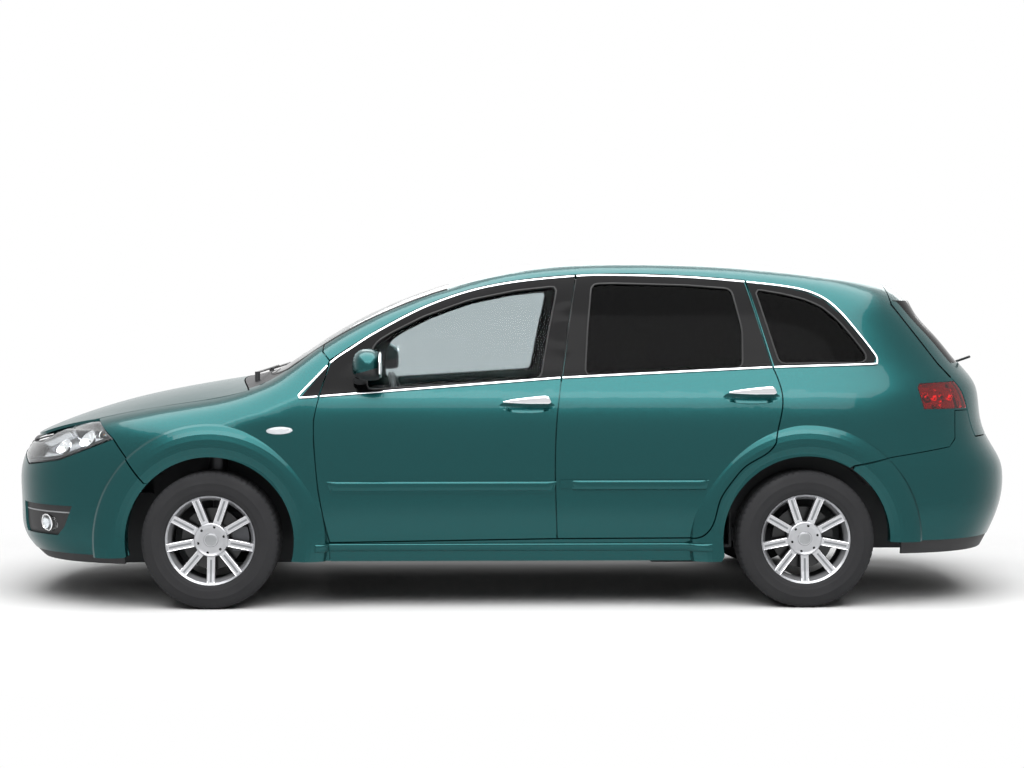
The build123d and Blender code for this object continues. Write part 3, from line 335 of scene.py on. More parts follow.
TEAL = shade(18, 69, 70)
FINISHES = {f.name: f for f in (
    Lacquer("paint", TEAL, roughness=0.27, metallic=0.8, coat=0.3, specular=0.1),
    Finish("underbody", shade(38, 40, 42), roughness=0.7, grain=0.0004, grain_size=0.004),
    Finish("black_plastic", shade(22, 22, 24), roughness=0.55, grain=0.0002, grain_size=0.0012),
    Finish("interior", shade(52, 54, 57), roughness=0.62, grain=0.0003, grain_size=0.0015),
    Weave("cloth", shade(56, 58, 62), roughness=0.9),
    Glazing("clear_glass", (0.62, 0.67, 0.68), ior=1.09),
    Glazing("privacy_glass", (0.016, 0.018, 0.020), ior=1.09),
    Glazing("lens", (0.93, 0.95, 0.96), ior=1.4),
    Glazing("red_lens", (0.42, 0.007, 0.011), roughness=0.04, ripple=0.0006, ripple_size=0.006),
    Finish("chrome", (0.70, 0.70, 0.72), roughness=0.09, metallic=1.0, uneven=0.02),
    Finish("alloy", shade(172, 173, 176), roughness=0.3, metallic=0.85, coat=0.4, grain=0.00005,
           grain_size=0.001),
    Finish("tyre", shade(27, 27, 29), roughness=0.78, grain=0.00035, grain_size=0.002, specular=0.35),
    Finish("steel", shade(80, 81, 84), roughness=0.45, metallic=0.8, grain=0.0001, grain_size=0.003),
    Finish("engine", shade(70, 71, 74), roughness=0.6, metallic=0.4, grain=0.0006, grain_size=0.005),
)}
EXTRA_FINISHES = {f.name: f for f in (
    Finish("gloss_black", shade(8, 8, 9), roughness=0.1, specular=0.06, uneven=0.02),
    Finish("rubber", shade(14, 14, 15), roughness=0.72, grain=0.0001, grain_size=0.001),
    Finish("reflector", (0.92, 0.92, 0.93), roughness=0.09, metallic=1.0, uneven=0.02),
    # Grey of the strips down the wheel spokes: painted shade for their grooves.
    Finish("lamp_grey", shade(120, 122, 125), roughness=0.32, metallic=0.5),
    Finish("lamp_silver", shade(222, 223, 226), roughness=0.24, metallic=0.9),
    WheelPaint("wheel_face", shade(186, 187, 190), roughness=0.32, metallic=0.8, coat=0.4, plane=0.796),
    Finish("bulb", shade(225, 226, 224), roughness=0.15, coat=0.8),
    Glazing("amber_lens", (0.85, 0.34, 0.04)),
    Finish("headliner", shade(176, 176, 172), roughness=0.95, grain=0.0003, grain_size=0.002),
    Finish("carpet", shade(34, 35, 37), roughness=1.0, grain=0.001, grain_size=0.0022),
    Finish("leather", shade(30, 30, 32), roughness=0.48, grain=0.0003, grain_size=0.0025),
    Finish("satin_silver", shade(150, 152, 154), roughness=0.35, metallic=0.7),
)}


# ---------------------------------------------------------------------------------------- workshop
class Workshop:
    """Turns meshes into named pieces that ride on the frame's bodies."""

    def __init__(self) -> None:
        """Starts with no materials made."""
        self.materials: dict[str, Material] = {}

    def material(self, name: str) -> Material:
        """The material of a finish, made at its first use."""
        if name not in self.materials:
            self.materials[name] = (FINISHES | EXTRA_FINISHES)[name].build()
        return self.materials[name]

    def dress(self, node: str, finish: str) -> None:
        """Gives a frame node a finish."""
        data = frame["nodes"][node].data
        data.materials.clear()
        data.materials.append(self.material(finish))

    def piece(self, name: str, mesh: Mesh, finish: str, body: str = "body") -> Object:
        """Makes a piece, shaded smooth but for its sharp edges.

        Args:
            name: the piece's own name.
            mesh: its mesh, already in place.
            finish: the finish it gets.
            body: the body that it rides on.

        Returns:
            The new object.
        """
        mesh.name = name
        obj = bpy.data.objects.new(name, mesh)
        bpy.context.scene.collection.objects.link(obj)
        mesh.materials.clear()
        mesh.materials.append(self.material(finish))
        mesh.shade_smooth()
        mesh.set_sharp_from_angle(angle=SHARP)
        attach(obj, body)
        log.info("%s: %d faces on %s", name, len(mesh.polygons), body)
        return obj

    def sided(self, name: str, mesh: Mesh, finish: str, side: Side,
              body: str = "body") -> Object:
        """Makes a piece on one side of the car.

        Args:
            name: the piece's name, with {} where the side's word goes.
            mesh: its mesh as it is on the left side.
            finish: the finish it gets.
            side: the side it goes on.
            body: the body that it rides on, with {} where the side's word goes.

        Returns:
            The new object.
        """
        return self.piece(name.format(side.word), for_side(mesh, side), finish, body.format(side.word))


shop = Workshop()


# ---------------------------------------------------------------------------------------- mesh tools
def opened(*meshes: Mesh) -> bmesh.types.BMesh:
    """The meshes as one, ready for changes."""
    work = bmesh.new()
    for mesh in meshes:
        work.from_mesh(mesh)
    return work


def closed_up(work: bmesh.types.BMesh) -> Mesh:
    """The changed mesh as a new one that can be shown."""
    mesh = bpy.data.meshes.new("draft")
    work.to_mesh(mesh)
    work.free()
    return mesh


def drop_loose(work: bmesh.types.BMesh) -> None:
    """Deletes the corners that no face uses."""
    bmesh.ops.delete(work, geom=[v for v in work.verts if not v.link_faces], context="VERTS")


def mesh_from(points: Iterable[Sequence[float]], faces: Iterable[Sequence[int]]) -> Mesh:
    """A mesh with its faces turned outwards."""
    mesh = bpy.data.meshes.new("draft")
    mesh.from_pydata([tuple(p) for p in points], [], [tuple(f) for f in faces])
    work = opened(mesh)
    bmesh.ops.remove_doubles(work, verts=work.verts, dist=1e-6)
    bmesh.ops.recalc_face_normals(work, faces=work.faces)
    return closed_up(work)


def merged(*meshes: Mesh) -> Mesh:
    """Several meshes as one."""
    return closed_up(opened(*meshes))


def moved(mesh: Mesh, matrix: Matrix) -> Mesh:
    """A copy of the mesh carried by a matrix."""
    copy = mesh.copy()
    copy.transform(matrix)
    if matrix.determinant() < 0:
        copy.flip_normals()
    return copy


def for_side(mesh: Mesh, side: Side) -> Mesh:
    """A mesh drawn for the left side, as it is or mirrored."""
    return mesh if side is Side.LEFT else moved(mesh, Matrix.Scale(-1, 4, (0, 1, 0)))


def skinned(rings: Sequence[Sequence[Vector]], closed: bool = True, capped: bool = True,
            looped: bool = False) -> Mesh:
    """Lofts a surface through rings of points.

    Args:
        rings: equal-length rings.
        closed: whether each ring closes on itself.
        capped: whether the first and last ring are filled.
        looped: whether the last ring joins the first.

    Returns:
        The mesh.
    """
    count, last = len(rings[0]), len(rings) - 1
    points = [p for ring in rings for p in ring]
    faces = []
    for i in range(last + 1 if looped else last):
        here, there = i * count, (i + 1) % len(rings) * count
        for j in range(count if closed else count - 1):
            ahead = (j + 1) % count
            faces.append((here + j, here + ahead, there + ahead, there + j))
    if capped and closed and not looped:
        faces.append(tuple(range(count)))
        faces.append(tuple(last * count + j for j in range(count)))
    return mesh_from(points, faces)


def lathed(profile: Sequence[Flat], centre: Vector, axis: Vector, steps: int = 48) -> Mesh:
    """Turns a profile of (radius, height) points about an axis.

    Args:
        profile: points from one end of the section to the other.
        centre: where height is zero.
        axis: the direction of height.
        steps: facets round the axis.

    Returns:
        The turned mesh.
    """
    axis = axis.normalized()
    across = axis.orthogonal().normalized()
    up = axis.cross(across)
    rings = []
    for k in range(steps):
        turn = 2 * math.pi * k / steps
        spoke = across * math.cos(turn) + up * math.sin(turn)
        rings.append([centre + spoke * r + axis * h for r, h in profile])
    return skinned(rings, closed=False, looped=True)


def smooth_line(points: Sequence[Sequence[float]], step: float, closed: bool = False) -> list[Vector]:
    """A smooth line through points, cut into even steps.

    Args:
        points: the points it runs through, 2-D or 3-D.
        step: distance between the points that come back.
        closed: whether the line is a loop.

    Returns:
        Evenly spaced points, the ends included unless it is a loop.
    """
    knots = [Vector(p) for p in points]
    dense: list[Vector] = []
    count = len(knots)
    spans = count if closed else count - 1
    for i in range(spans):
        p1, p2 = knots[i], knots[(i + 1) % count]
        p0 = knots[i - 1] if (closed or i > 0) else p1 * 2 - p2
        p3 = knots[(i + 2) % count] if (closed or i + 2 < count) else p2 * 2 - p1
        for k in range(24):
            t = k / 24
            dense.append(0.5 * ((2 * p1) + (p2 - p0) * t + (2 * p0 - 5 * p1 + 4 * p2 - p3) * t ** 2
                                + (3 * p1 - p0 - 3 * p2 + p3) * t ** 3))
    dense.append(knots[0] if closed else knots[-1])
    marks = [0.0]
    for a, b in zip(dense, dense[1:]):
        marks.append(marks[-1] + (b - a).length)
    pieces = max(2, round(marks[-1] / step))
    line, k = [], 0
    for i in range(pieces + (0 if closed else 1)):
        at = marks[-1] * i / pieces
        while k < len(marks) - 2 and marks[k + 1] < at:
            k += 1
        span = marks[k + 1] - marks[k]
        line.append(dense[k].lerp(dense[k + 1], (at - marks[k]) / span if span else 0))
    return line


def rounded_block(size: Sequence[float], radius: float, centre: Vector, tilt: float = 0.0,
                  steps: int = 3) -> Mesh:
    """A block with rounded edges.

    Args:
        size: its full size along X, Y and Z.
        radius: of its edges.
        centre: where its middle goes.
        tilt: turn about the axis Y through its middle, in radians.
        steps: facets across an edge.

    Returns:
        The block.
    """
    work = bmesh.new()
    bmesh.ops.create_cube(work, size=1.0)
    bmesh.ops.scale(work, vec=Vector(size), verts=work.verts)
    bmesh.ops.bevel(work, geom=work.edges[:], offset=min(radius, 0.49 * min(size)), segments=steps,
                    profile=0.5, affect="EDGES")
    mesh = closed_up(work)
    mesh.transform(Matrix.Translation(centre) @ Matrix.Rotation(tilt, 4, "Y"))
    return mesh


def swept(path: Sequence[Vector], section: Sequence[Flat], outward: Callable[[int], Vector],
          looped: bool = False, shrink: Callable[[float], float] = lambda t: 1.0) -> Mesh:
    """Carries a closed section along a path.

    Args:
        path: points of the path.
        section: points (across, out) of the section.
        outward: the out direction at each path point.
        looped: whether the path closes on itself.
        shrink: scale of the section along the path, given the share from 0 to 1.

    Returns:
        The swept mesh.
    """
    rings = []
    last = len(path) - 1
    for i, point in enumerate(path):
        ahead = path[(i + 1) % len(path)] if looped or i < last else point
        behind = path[i - 1] if looped or i > 0 else point
        way = (ahead - behind).normalized()
        out = (outward(i) - way * outward(i).dot(way)).normalized()
        across = way.cross(out)
        scale = shrink(i / max(1, last))
        rings.append([point + across * a * scale + out * o * scale for a, o in section])
    return skinned(rings, looped=looped)


def round_section(radius: float, sides: int = 10, squeeze: float = 1.0) -> list[Flat]:
    """Section of a round bar, made flatter by `squeeze`."""
    turns = [2 * math.pi * k / sides for k in range(sides)]
    return [(radius * math.cos(turn), radius * squeeze * math.sin(turn)) for turn in turns]


def bar(start: Vector, middle: Vector, end: Vector, radius: float, sides: int = 10) -> Mesh:
    """A round bar through three points."""
    side_way = (end - start).normalized().orthogonal()
    return swept([start, middle, end], round_section(radius, sides), lambda i: side_way)


class Skin:
    """Finds points on the outside of frame nodes."""

    def __init__(self, *names: str) -> None:
        """Takes the nodes to look at."""
        points: list[Vector] = []
        faces: list[list[int]] = []
        for name in names:
            data = frame["nodes"][name].data
            start = len(points)
            points += [v.co.copy() for v in data.vertices]
            faces += [[start + i for i in p.vertices] for p in data.polygons]
        self.tree = BVHTree.FromPolygons(points, faces)

    def cast(self, origin: Vector, way: Vector) -> Spot | None:
        """First point on a ray and the outward normal there, or None."""
        hit, normal, _, _ = self.tree.ray_cast(origin, way.normalized())
        if hit is None:
            return None
        return hit, (normal if normal.dot(way) < 0 else -normal)


def conformed(outline: Sequence[Flat], place: Callable[[float, float], Spot], lift: float,
              holes: Sequence[Sequence[Flat]] = (), spacing: float = 0.03,
              edge: float = 0.0015) -> Mesh:
    """A thin panel that follows a surface.

    Args:
        outline: closed outline in a flat view.
        place: gives the surface point and normal for a flat point.
        lift: height of the panel's face over the surface.
        holes: closed outlines left open.
        spacing: distance between the inner points.
        edge: how far the panel's rim reaches down.

    Returns:
        The panel's mesh, its face and its rim.
    """
    loops = [divided(loop) for loop in (outline, *holes)]
    points: list[Vector] = []
    edges: list[tuple[int, int]] = []
    for loop in loops:
        start = len(points)
        points += [Vector(p) for p in loop]
        edges += [(start + i, start + (i + 1) % len(loop)) for i in range(len(loop))]
    low = [min(p[k] for p in outline) for k in (0, 1)]
    high = [max(p[k] for p in outline) for k in (0, 1)]
    steps = [max(1, int((high[k] - low[k]) / spacing)) for k in (0, 1)]
    for i in range(1, steps[0]):
        for j in range(1, steps[1]):
            spot = (low[0] + (high[0] - low[0]) * i / steps[0], low[1] + (high[1] - low[1]) * j / steps[1])
            if inside(spot, outline) and not any(inside(spot, h) for h in holes) \
                    and min(nearness(spot, loop) for loop in loops) > spacing * 0.35:
                points.append(Vector(spot))
    flat, _, cells, *_ = geometry.delaunay_2d_cdt(points, edges, [], 0, 1e-7)
    keep = []
    for cell in cells:
        middle = sum((flat[i] for i in cell), Vector((0, 0))) / len(cell)
        if inside(middle, outline) and not any(inside(middle, h) for h in holes):
            keep.append(list(cell))
    top, rim = [], []
    for spot in flat:
        hit, normal = place(spot.x, spot.y)
        top.append(hit + normal * lift)
        rim.append(hit + normal * (lift - edge))
    count: dict[tuple[int, int], int] = {}
    for cell in keep:
        for a, b in zip(cell, cell[1:] + cell[:1]):
            count[(min(a, b), max(a, b))] = count.get((min(a, b), max(a, b)), 0) + 1
    size = len(top)
    faces = keep + [[a, b, b + size, a + size] for (a, b), n in count.items() if n == 1]
    draft = bpy.data.meshes.new("draft")
    draft.from_pydata(top + rim, [], faces)
    work = opened(draft)
    drop_loose(work)
    bmesh.ops.recalc_face_normals(work, faces=work.faces)
    mesh = closed_up(work)
    centre, normal = place(*middle)
    near = min(mesh.polygons, key=lambda p: (p.center - centre).length)
    if near.normal.dot(normal) < 0:
        mesh.flip_normals()
    return mesh


def divided(loop: Sequence[Flat]) -> list[Flat]:
    """A closed outline with points added, so that none is further than 22 mm from the next."""
    fine = []
    for (ax, ay), (bx, by) in zip(loop, [*loop[1:], loop[0]]):
        parts = max(1, math.ceil(math.hypot(bx - ax, by - ay) / 0.022))
        fine += [(ax + (bx - ax) * k / parts, ay + (by - ay) * k / parts) for k in range(parts)]
    return fine


def inside(spot: Sequence[float], loop: Sequence[Flat]) -> bool:
    """Whether a flat point lies inside a closed outline."""
    crossing = False
    for (ax, ay), (bx, by) in zip(loop, [*loop[1:], loop[0]]):
        if (ay > spot[1]) != (by > spot[1]) and spot[0] < (bx - ax) * (spot[1] - ay) / (by - ay) + ax:
            crossing = not crossing
    return crossing


def nearness(spot: Sequence[float], loop: Sequence[Flat]) -> float:
    """Distance from a flat point to the nearest corner of an outline."""
    return min(math.hypot(spot[0] - p[0], spot[1] - p[1]) for p in loop)


# ---------------------------------------------------------------------------------------- car parts
def mm(*points: Sequence[float]) -> tuple[Flat, ...]:
    """Points given in millimetres, in metres."""
    return tuple(tuple(c / 1000 for c in p) for p in points)


def level(line: Sequence[Flat], x: float) -> float:
    """Height of a line of points at x."""
    for (ax, az), (bx, bz) in zip(line, line[1:]):
        if ax <= x <= bx:
            return az + (bz - az) * (x - ax) / (bx - ax)
    return line[0][1] if x < line[0][0] else line[-1][1]


def between(line: Sequence[Flat], first: float, last: float, drop: float = 0.0) -> list[Flat]:
    """The stretch of a line between two x values, moved down by `drop`."""
    middle = [p for p in line if first + 0.012 < p[0] < last - 0.012]
    return [(x, z - drop) for x, z in [(first, level(line, first)), *middle, (last, level(line, last))]]


class Flank:
    """The left side's outer surface as a smooth depth over the side view."""
    step = 0.009        # sideways step that bridges a shut line
    glass_in = 0.006    # how far the panes lie inside the panels
    reading = 0.02      # reach over which the slope is read
    steepest = 0.9      # largest slope taken

    def __init__(self) -> None:
        """Takes the left side's panels and panes."""
        self.panels = Skin("body_side_left", "front_wings", "front_left_door", "rear_left_door",
                           "front_bumper", "rear_bumper", "roof")
        self.panes = Skin("front_left_glass", "rear_left_glass", "quarter_windows")
        self.known: dict[tuple[float, float], float] = {}

    def reach(self, x: float, z: float) -> float:
        """Half width where a ray meets the car, or zero."""
        far = 0.0
        for skin, proud in ((self.panels, 0.0), (self.panes, self.glass_in)):
            found = skin.cast(Vector((x, -1.3, z)), RIGHT)
            if found and found[0].y < -0.3:
                far = max(far, proud - found[0].y)
        return far

    def depth(self, x: float, z: float) -> float:
        """Half width of the outer surface, read across shut lines."""
        key = (round(x, 4), round(z, 4))
        if key not in self.known:
            self.known[key] = max(self.reach(x + k * self.step, z) for k in (-1, 0, 1))
        return self.known[key]

    def place(self, x: float, z: float) -> Spot:
        """Surface point and outward normal at a place of the side view."""
        reach = self.reading
        lean = [(self.depth(x + reach, z) - self.depth(x - reach, z)) / (2 * reach),
                (self.depth(x, z + reach) - self.depth(x, z - reach)) / (2 * reach)]
        lean = [max(-self.steepest, min(self.steepest, v)) for v in lean]
        return Vector((x, -self.depth(x, z), z)), Vector((-lean[0], -1, -lean[1])).normalized()

    def strip(self, line: Sequence[Flat], width: float, height: float, lift: float = 0.0,
              sink: float = 0.003, looped: bool = False) -> Mesh:
        """A moulding of low crown that follows a side-view line.

        Args:
            line: side-view points of its middle.
            width: across the moulding.
            height: of its crown over the surface.
            lift: of the whole moulding.
            sink: how far its edges reach below the surface.
            looped: whether the line closes on itself.

        Returns:
            The moulding's mesh.
        """
        spots = [self.place(p.x, p.y) for p in smooth_line(line, 0.02, looped)]
        half = width / 2
        section = [(-half, -sink), (-half, height * 0.45), (-half * 0.75, height * 0.85), (0, height),
                   (half * 0.75, height * 0.85), (half, height * 0.45), (half, -sink)]
        return swept([hit + normal * lift for hit, normal in spots], section, lambda i: spots[i][1], looped)


@dataclass
class WindowTrim:
    """Bright moulding round the side windows, black covers between it and the panes, rubber beads."""
    flank: Flank
    bright_width: float = 0.0095
    bright_height: float = 0.0045
    bead_width: float = 0.007
    bead_height: float = 0.0016
    bead_sink: float = 0.010
    seal_width: float = 0.0058
    seal_height: float = 0.0005
    seal_lift: float = -0.006
    cover_lift: float = 0.0022
    cover_edge: float = 0.0085
    inset: float = 0.0050
    top: tuple[Flat, ...] = mm(
        (-981, 958), (-848, 1103), (-736, 1184), (-625, 1254), (-417, 1362), (-206, 1438), (6, 1481),
        (277, 1508), (457, 1513), (794, 1504), (1074, 1482), (1243, 1463), (1351, 1442), (1437, 1403),
        (1511, 1336), (1592, 1236), (1656, 1148))
    belt: tuple[Flat, ...] = mm((-981, 955), (212, 1045), (1178, 1092), (1644, 1105))
    front_corner: tuple[Flat, ...] = mm(
        (-893, 961.6), (-955, 957), (-977, 956.5), (-980, 963), (-955, 991), (-905, 1043), (-852, 1099))
    rear_corner: tuple[Flat, ...] = mm(
        (1077, 1482), (1243, 1463), (1351, 1442), (1437, 1403), (1511, 1336), (1592, 1236), (1652, 1153),
        (1663, 1128), (1656, 1109), (1636, 1104.5), (1400, 1098.5), (1183, 1092.2))
    pillar_seal: tuple[Flat, ...] = mm((285.7, 1500), (250, 1290), (213, 1052))
    sail: tuple[Flat, ...] = mm((-966, 962), (-888.5, 967), (-847.5, 1096), (-903, 1036))
    quarter: tuple[Flat, ...] = mm(
        (1078, 1476), (1243, 1457), (1348, 1436), (1433, 1397), (1506, 1331), (1587, 1231), (1646, 1150),
        (1655, 1130), (1649, 1115), (1632, 1110.5), (1400, 1104.5), (1184, 1098.5))
    panes: dict[str, tuple[Flat, ...]] = field(default_factory=lambda: {
        "front": mm((-672, 992), (-668, 1130), (-634, 1206), (-560, 1252), (-417, 1324), (-206, 1400),
                    (6, 1443), (198, 1464), (154, 1250), (117, 1042)),
        "rear": mm((319, 1056), (334, 1270), (356, 1474), (457, 1477), (794, 1468), (1002, 1452),
                   (1044, 1262), (1039, 1090)),
        "quarter": mm((1208, 1108), (1110, 1450), (1243, 1428), (1345, 1402), (1420, 1368), (1490, 1308),
                      (1560, 1222), (1618, 1142), (1600, 1112))})

    def build(self, side: Side) -> None:
        """Makes one side's trim."""
        front, rear = "front_{}_door", "rear_{}_door"
        top = [tuple(p) for p in smooth_line(self.top, 0.03)]
        stretches = {
            "wing": (self.front_corner, "body"), "quarter": (self.rear_corner, "body"),
            "front_door_top": (between(top, -0.838, 0.279), front),
            "front_door_belt": (between(self.belt, -0.880, 0.206), front),
            "rear_door_top": (between(top, 0.289, 1.066), rear),
            "rear_door_belt": (between(self.belt, 0.216, 1.172), rear)}
        for name, (line, body) in stretches.items():
            mesh = self.flank.strip(line, self.bright_width, self.bright_height, self.cover_lift)
            shop.sided(f"bright_{name}_{{}}", mesh, "chrome", side, body)
        gap = self.inset
        covers = {
            "front": ([*between(top, -0.840, 0.2815, gap), *mm((246, 1290), (210, 1053)),
                       *reversed(between(self.belt, -0.881, 0.2085, -gap))], front),
            "rear": ([*between(top, 0.2900, 1.066, gap), *mm((1171, 1100)),
                      *reversed(between(self.belt, 0.2165, 1.166, -gap)), *mm((254, 1290))], rear),
            "quarter": (self.quarter, "body")}
        for name, (outline, body) in covers.items():
            pane = rounded(self.panes[name])
            mesh = conformed(outline, self.flank.place, self.cover_lift, [pane], 0.022, self.cover_edge)
            shop.sided(f"window_cover_{name}_{{}}", mesh, "gloss_black", side, body)
            bead = self.flank.strip(pane, self.bead_width, self.bead_height, self.cover_lift,
                                    sink=self.bead_sink, looped=True)
            shop.sided(f"window_bead_{name}_{{}}", bead, "rubber", side, body)
        seal = self.flank.strip(self.pillar_seal, self.seal_width, self.seal_height, self.seal_lift,
                                sink=0.002)
        shop.sided("pillar_seal_{}", seal, "rubber", side, front)
        sail = conformed(self.sail, self.flank.place, self.cover_lift, edge=0.002)
        shop.sided("sail_cover_{}", sail, "gloss_black", side)


@dataclass
class DoorHandle:
    """Bright pull, pointed in front and full behind, on two dark feet."""
    end: End
    side: Side
    steps: int = 30
    sides: int = 24
    fullest: float = 0.86
    depth: float = 0.015
    above: float = 0.0275
    below: float = 0.0100

    def swell(self, t: float) -> float:
        """Share of the pull's full height at a share of its length: pointed in front, full behind."""
        if t < self.fullest:
            return (t / self.fullest) ** 0.62
        return max(0.0, 1 - ((t - self.fullest) / (1 - self.fullest)) ** 2.4) ** 0.5

    def ring(self, start: Vector, swell: float) -> list[Vector]:
        """One section of the pull, from the middle of its inner face."""
        up, down = self.above * swell, self.below * min(1.0, 0.25 + swell)
        ring = []
        for k in range(self.sides):
            turn = 2 * math.pi * k / self.sides
            c, s = math.cos(turn), math.sin(turn)
            inwards = abs(c) ** 0.8 * math.copysign(1, c) * (0.35 + 0.65 * swell)
            rise = (up if s > 0 else down) * abs(s) ** 0.85 * math.copysign(1, s)
            ring.append(start + Vector((0, self.depth / 2 * (1 - inwards), rise)))
        return ring

    def build(self) -> None:
        """Makes the pull over the frame's own handle."""
        low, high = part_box(f"{self.end.word}_left_handle")
        length, middle = high.x - low.x - 0.002, (low.z + high.z) / 2
        rings = []
        for t in (i / self.steps for i in range(self.steps + 1)):
            start = Vector((low.x + 0.001 + length * t, low.y + 0.0005, middle + 0.0005))
            rings.append(self.ring(start, max(0.10, self.swell(t))))
        door = f"{self.end.word}_{{}}_door"
        piece = shop.sided(f"{self.end.word}_{{}}_pull", skinned(rings), "chrome", self.side, door)
        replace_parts(piece, f"{self.end.word}_{self.side.word}_handle")
        inner = low.y + 0.012
        foot = (0.022, high.y - low.y - 0.016, 0.014)
        feet = [rounded_block(foot, 0.004, Vector((x, (inner + high.y) / 2, middle)))
                for x in (low.x + 0.035, high.x - 0.029)]
        shop.sided(f"{self.end.word}_{{}}_pull_feet", merged(*feet), "black_plastic", self.side, door)


@dataclass
class DoorMirror:
    """Outside mirror: painted cap over a dark shell, on a short arm, with its glass facing back."""
    side: Side
    rings: int = 22
    split: float = 0.42
    tilt: float = -0.28
    inner: float = -0.846
    rear: float = -0.6012
    glass: Vector = field(default_factory=lambda: Vector((-0.6005, -0.926)))
    outline: tuple[Flat, ...] = mm(
        (-606, 1048), (-601, 1100), (-608, 1155), (-640, 1178), (-690, 1176), (-722, 1150), (-732, 1105),
        (-726, 1064), (-690, 1041), (-640, 1036))

    def build(self) -> None:
        """Makes the shell in two finishes, the glass and the arm."""
        low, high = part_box("mirror_left")
        loop = smooth_line(self.outline, 0.012, closed=True)
        middle = sum(loop, Vector((0, 0))) / len(loop)
        spokes = [p - middle for p in loop]
        outer = low.y + 0.001
        rings = []
        for t in (i / self.rings for i in range(self.rings + 1)):
            taper = (1 - max(0.0, t - 0.1) ** 2.6 * 0.98 / 0.9 ** 2.6) ** 0.5
            scale = taper * (0.80 + 0.20 * min(1.0, t / 0.3) ** 0.7)
            shift = middle.x + 0.012 * (1 - scale)
            y = self.inner + (outer - self.inner) * t
            rings.append([Vector((min(self.rear, shift + p.x * scale), y, middle.y + p.y * scale))
                          for p in spokes])
        shell = skinned(rings)
        cut = Vector((middle.x, 0, low.z + (high.z - low.z) * self.split))
        door = "front_{}_door"
        for name, finish, keep_top in (("cap", "paint", True), ("shell", "black_plastic", False)):
            half = halved(shell, cut, Vector((self.tilt, 0, 1)), keep_top)
            piece = shop.sided(f"mirror_{name}_{{}}", half, finish, self.side, door)
        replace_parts(piece, f"mirror_{self.side.word}")
        face = [Vector((self.glass.x, self.glass.y + p.x * 1.05, middle.y + p.y * 0.80)) for p in spokes]
        back = [p + AHEAD * 0.006 for p in face]
        shop.sided("mirror_glass_{}", skinned([face, back]), "reflector", self.side, door)
        path = smooth_line([(-0.700, -0.815, 1.026), (-0.702, -0.842, 1.030), (-0.695, -0.872, 1.052)], 0.008)
        arm = swept(path, round_section(0.030, 16, squeeze=0.4), lambda i: UP)
        shop.sided("mirror_arm_{}", arm, "black_plastic", self.side, door)


def halved(mesh: Mesh, place: Vector, normal: Vector, keep_top: bool) -> Mesh:
    """The part of a mesh over (or under) a plane, with the cut filled."""
    work = opened(mesh)
    bmesh.ops.bisect_plane(work, geom=[*work.verts, *work.edges, *work.faces], plane_co=place,
                           plane_no=normal, clear_inner=keep_top, clear_outer=not keep_top)
    bmesh.ops.holes_fill(work, edges=[e for e in work.edges if e.is_boundary])
    return closed_up(work)


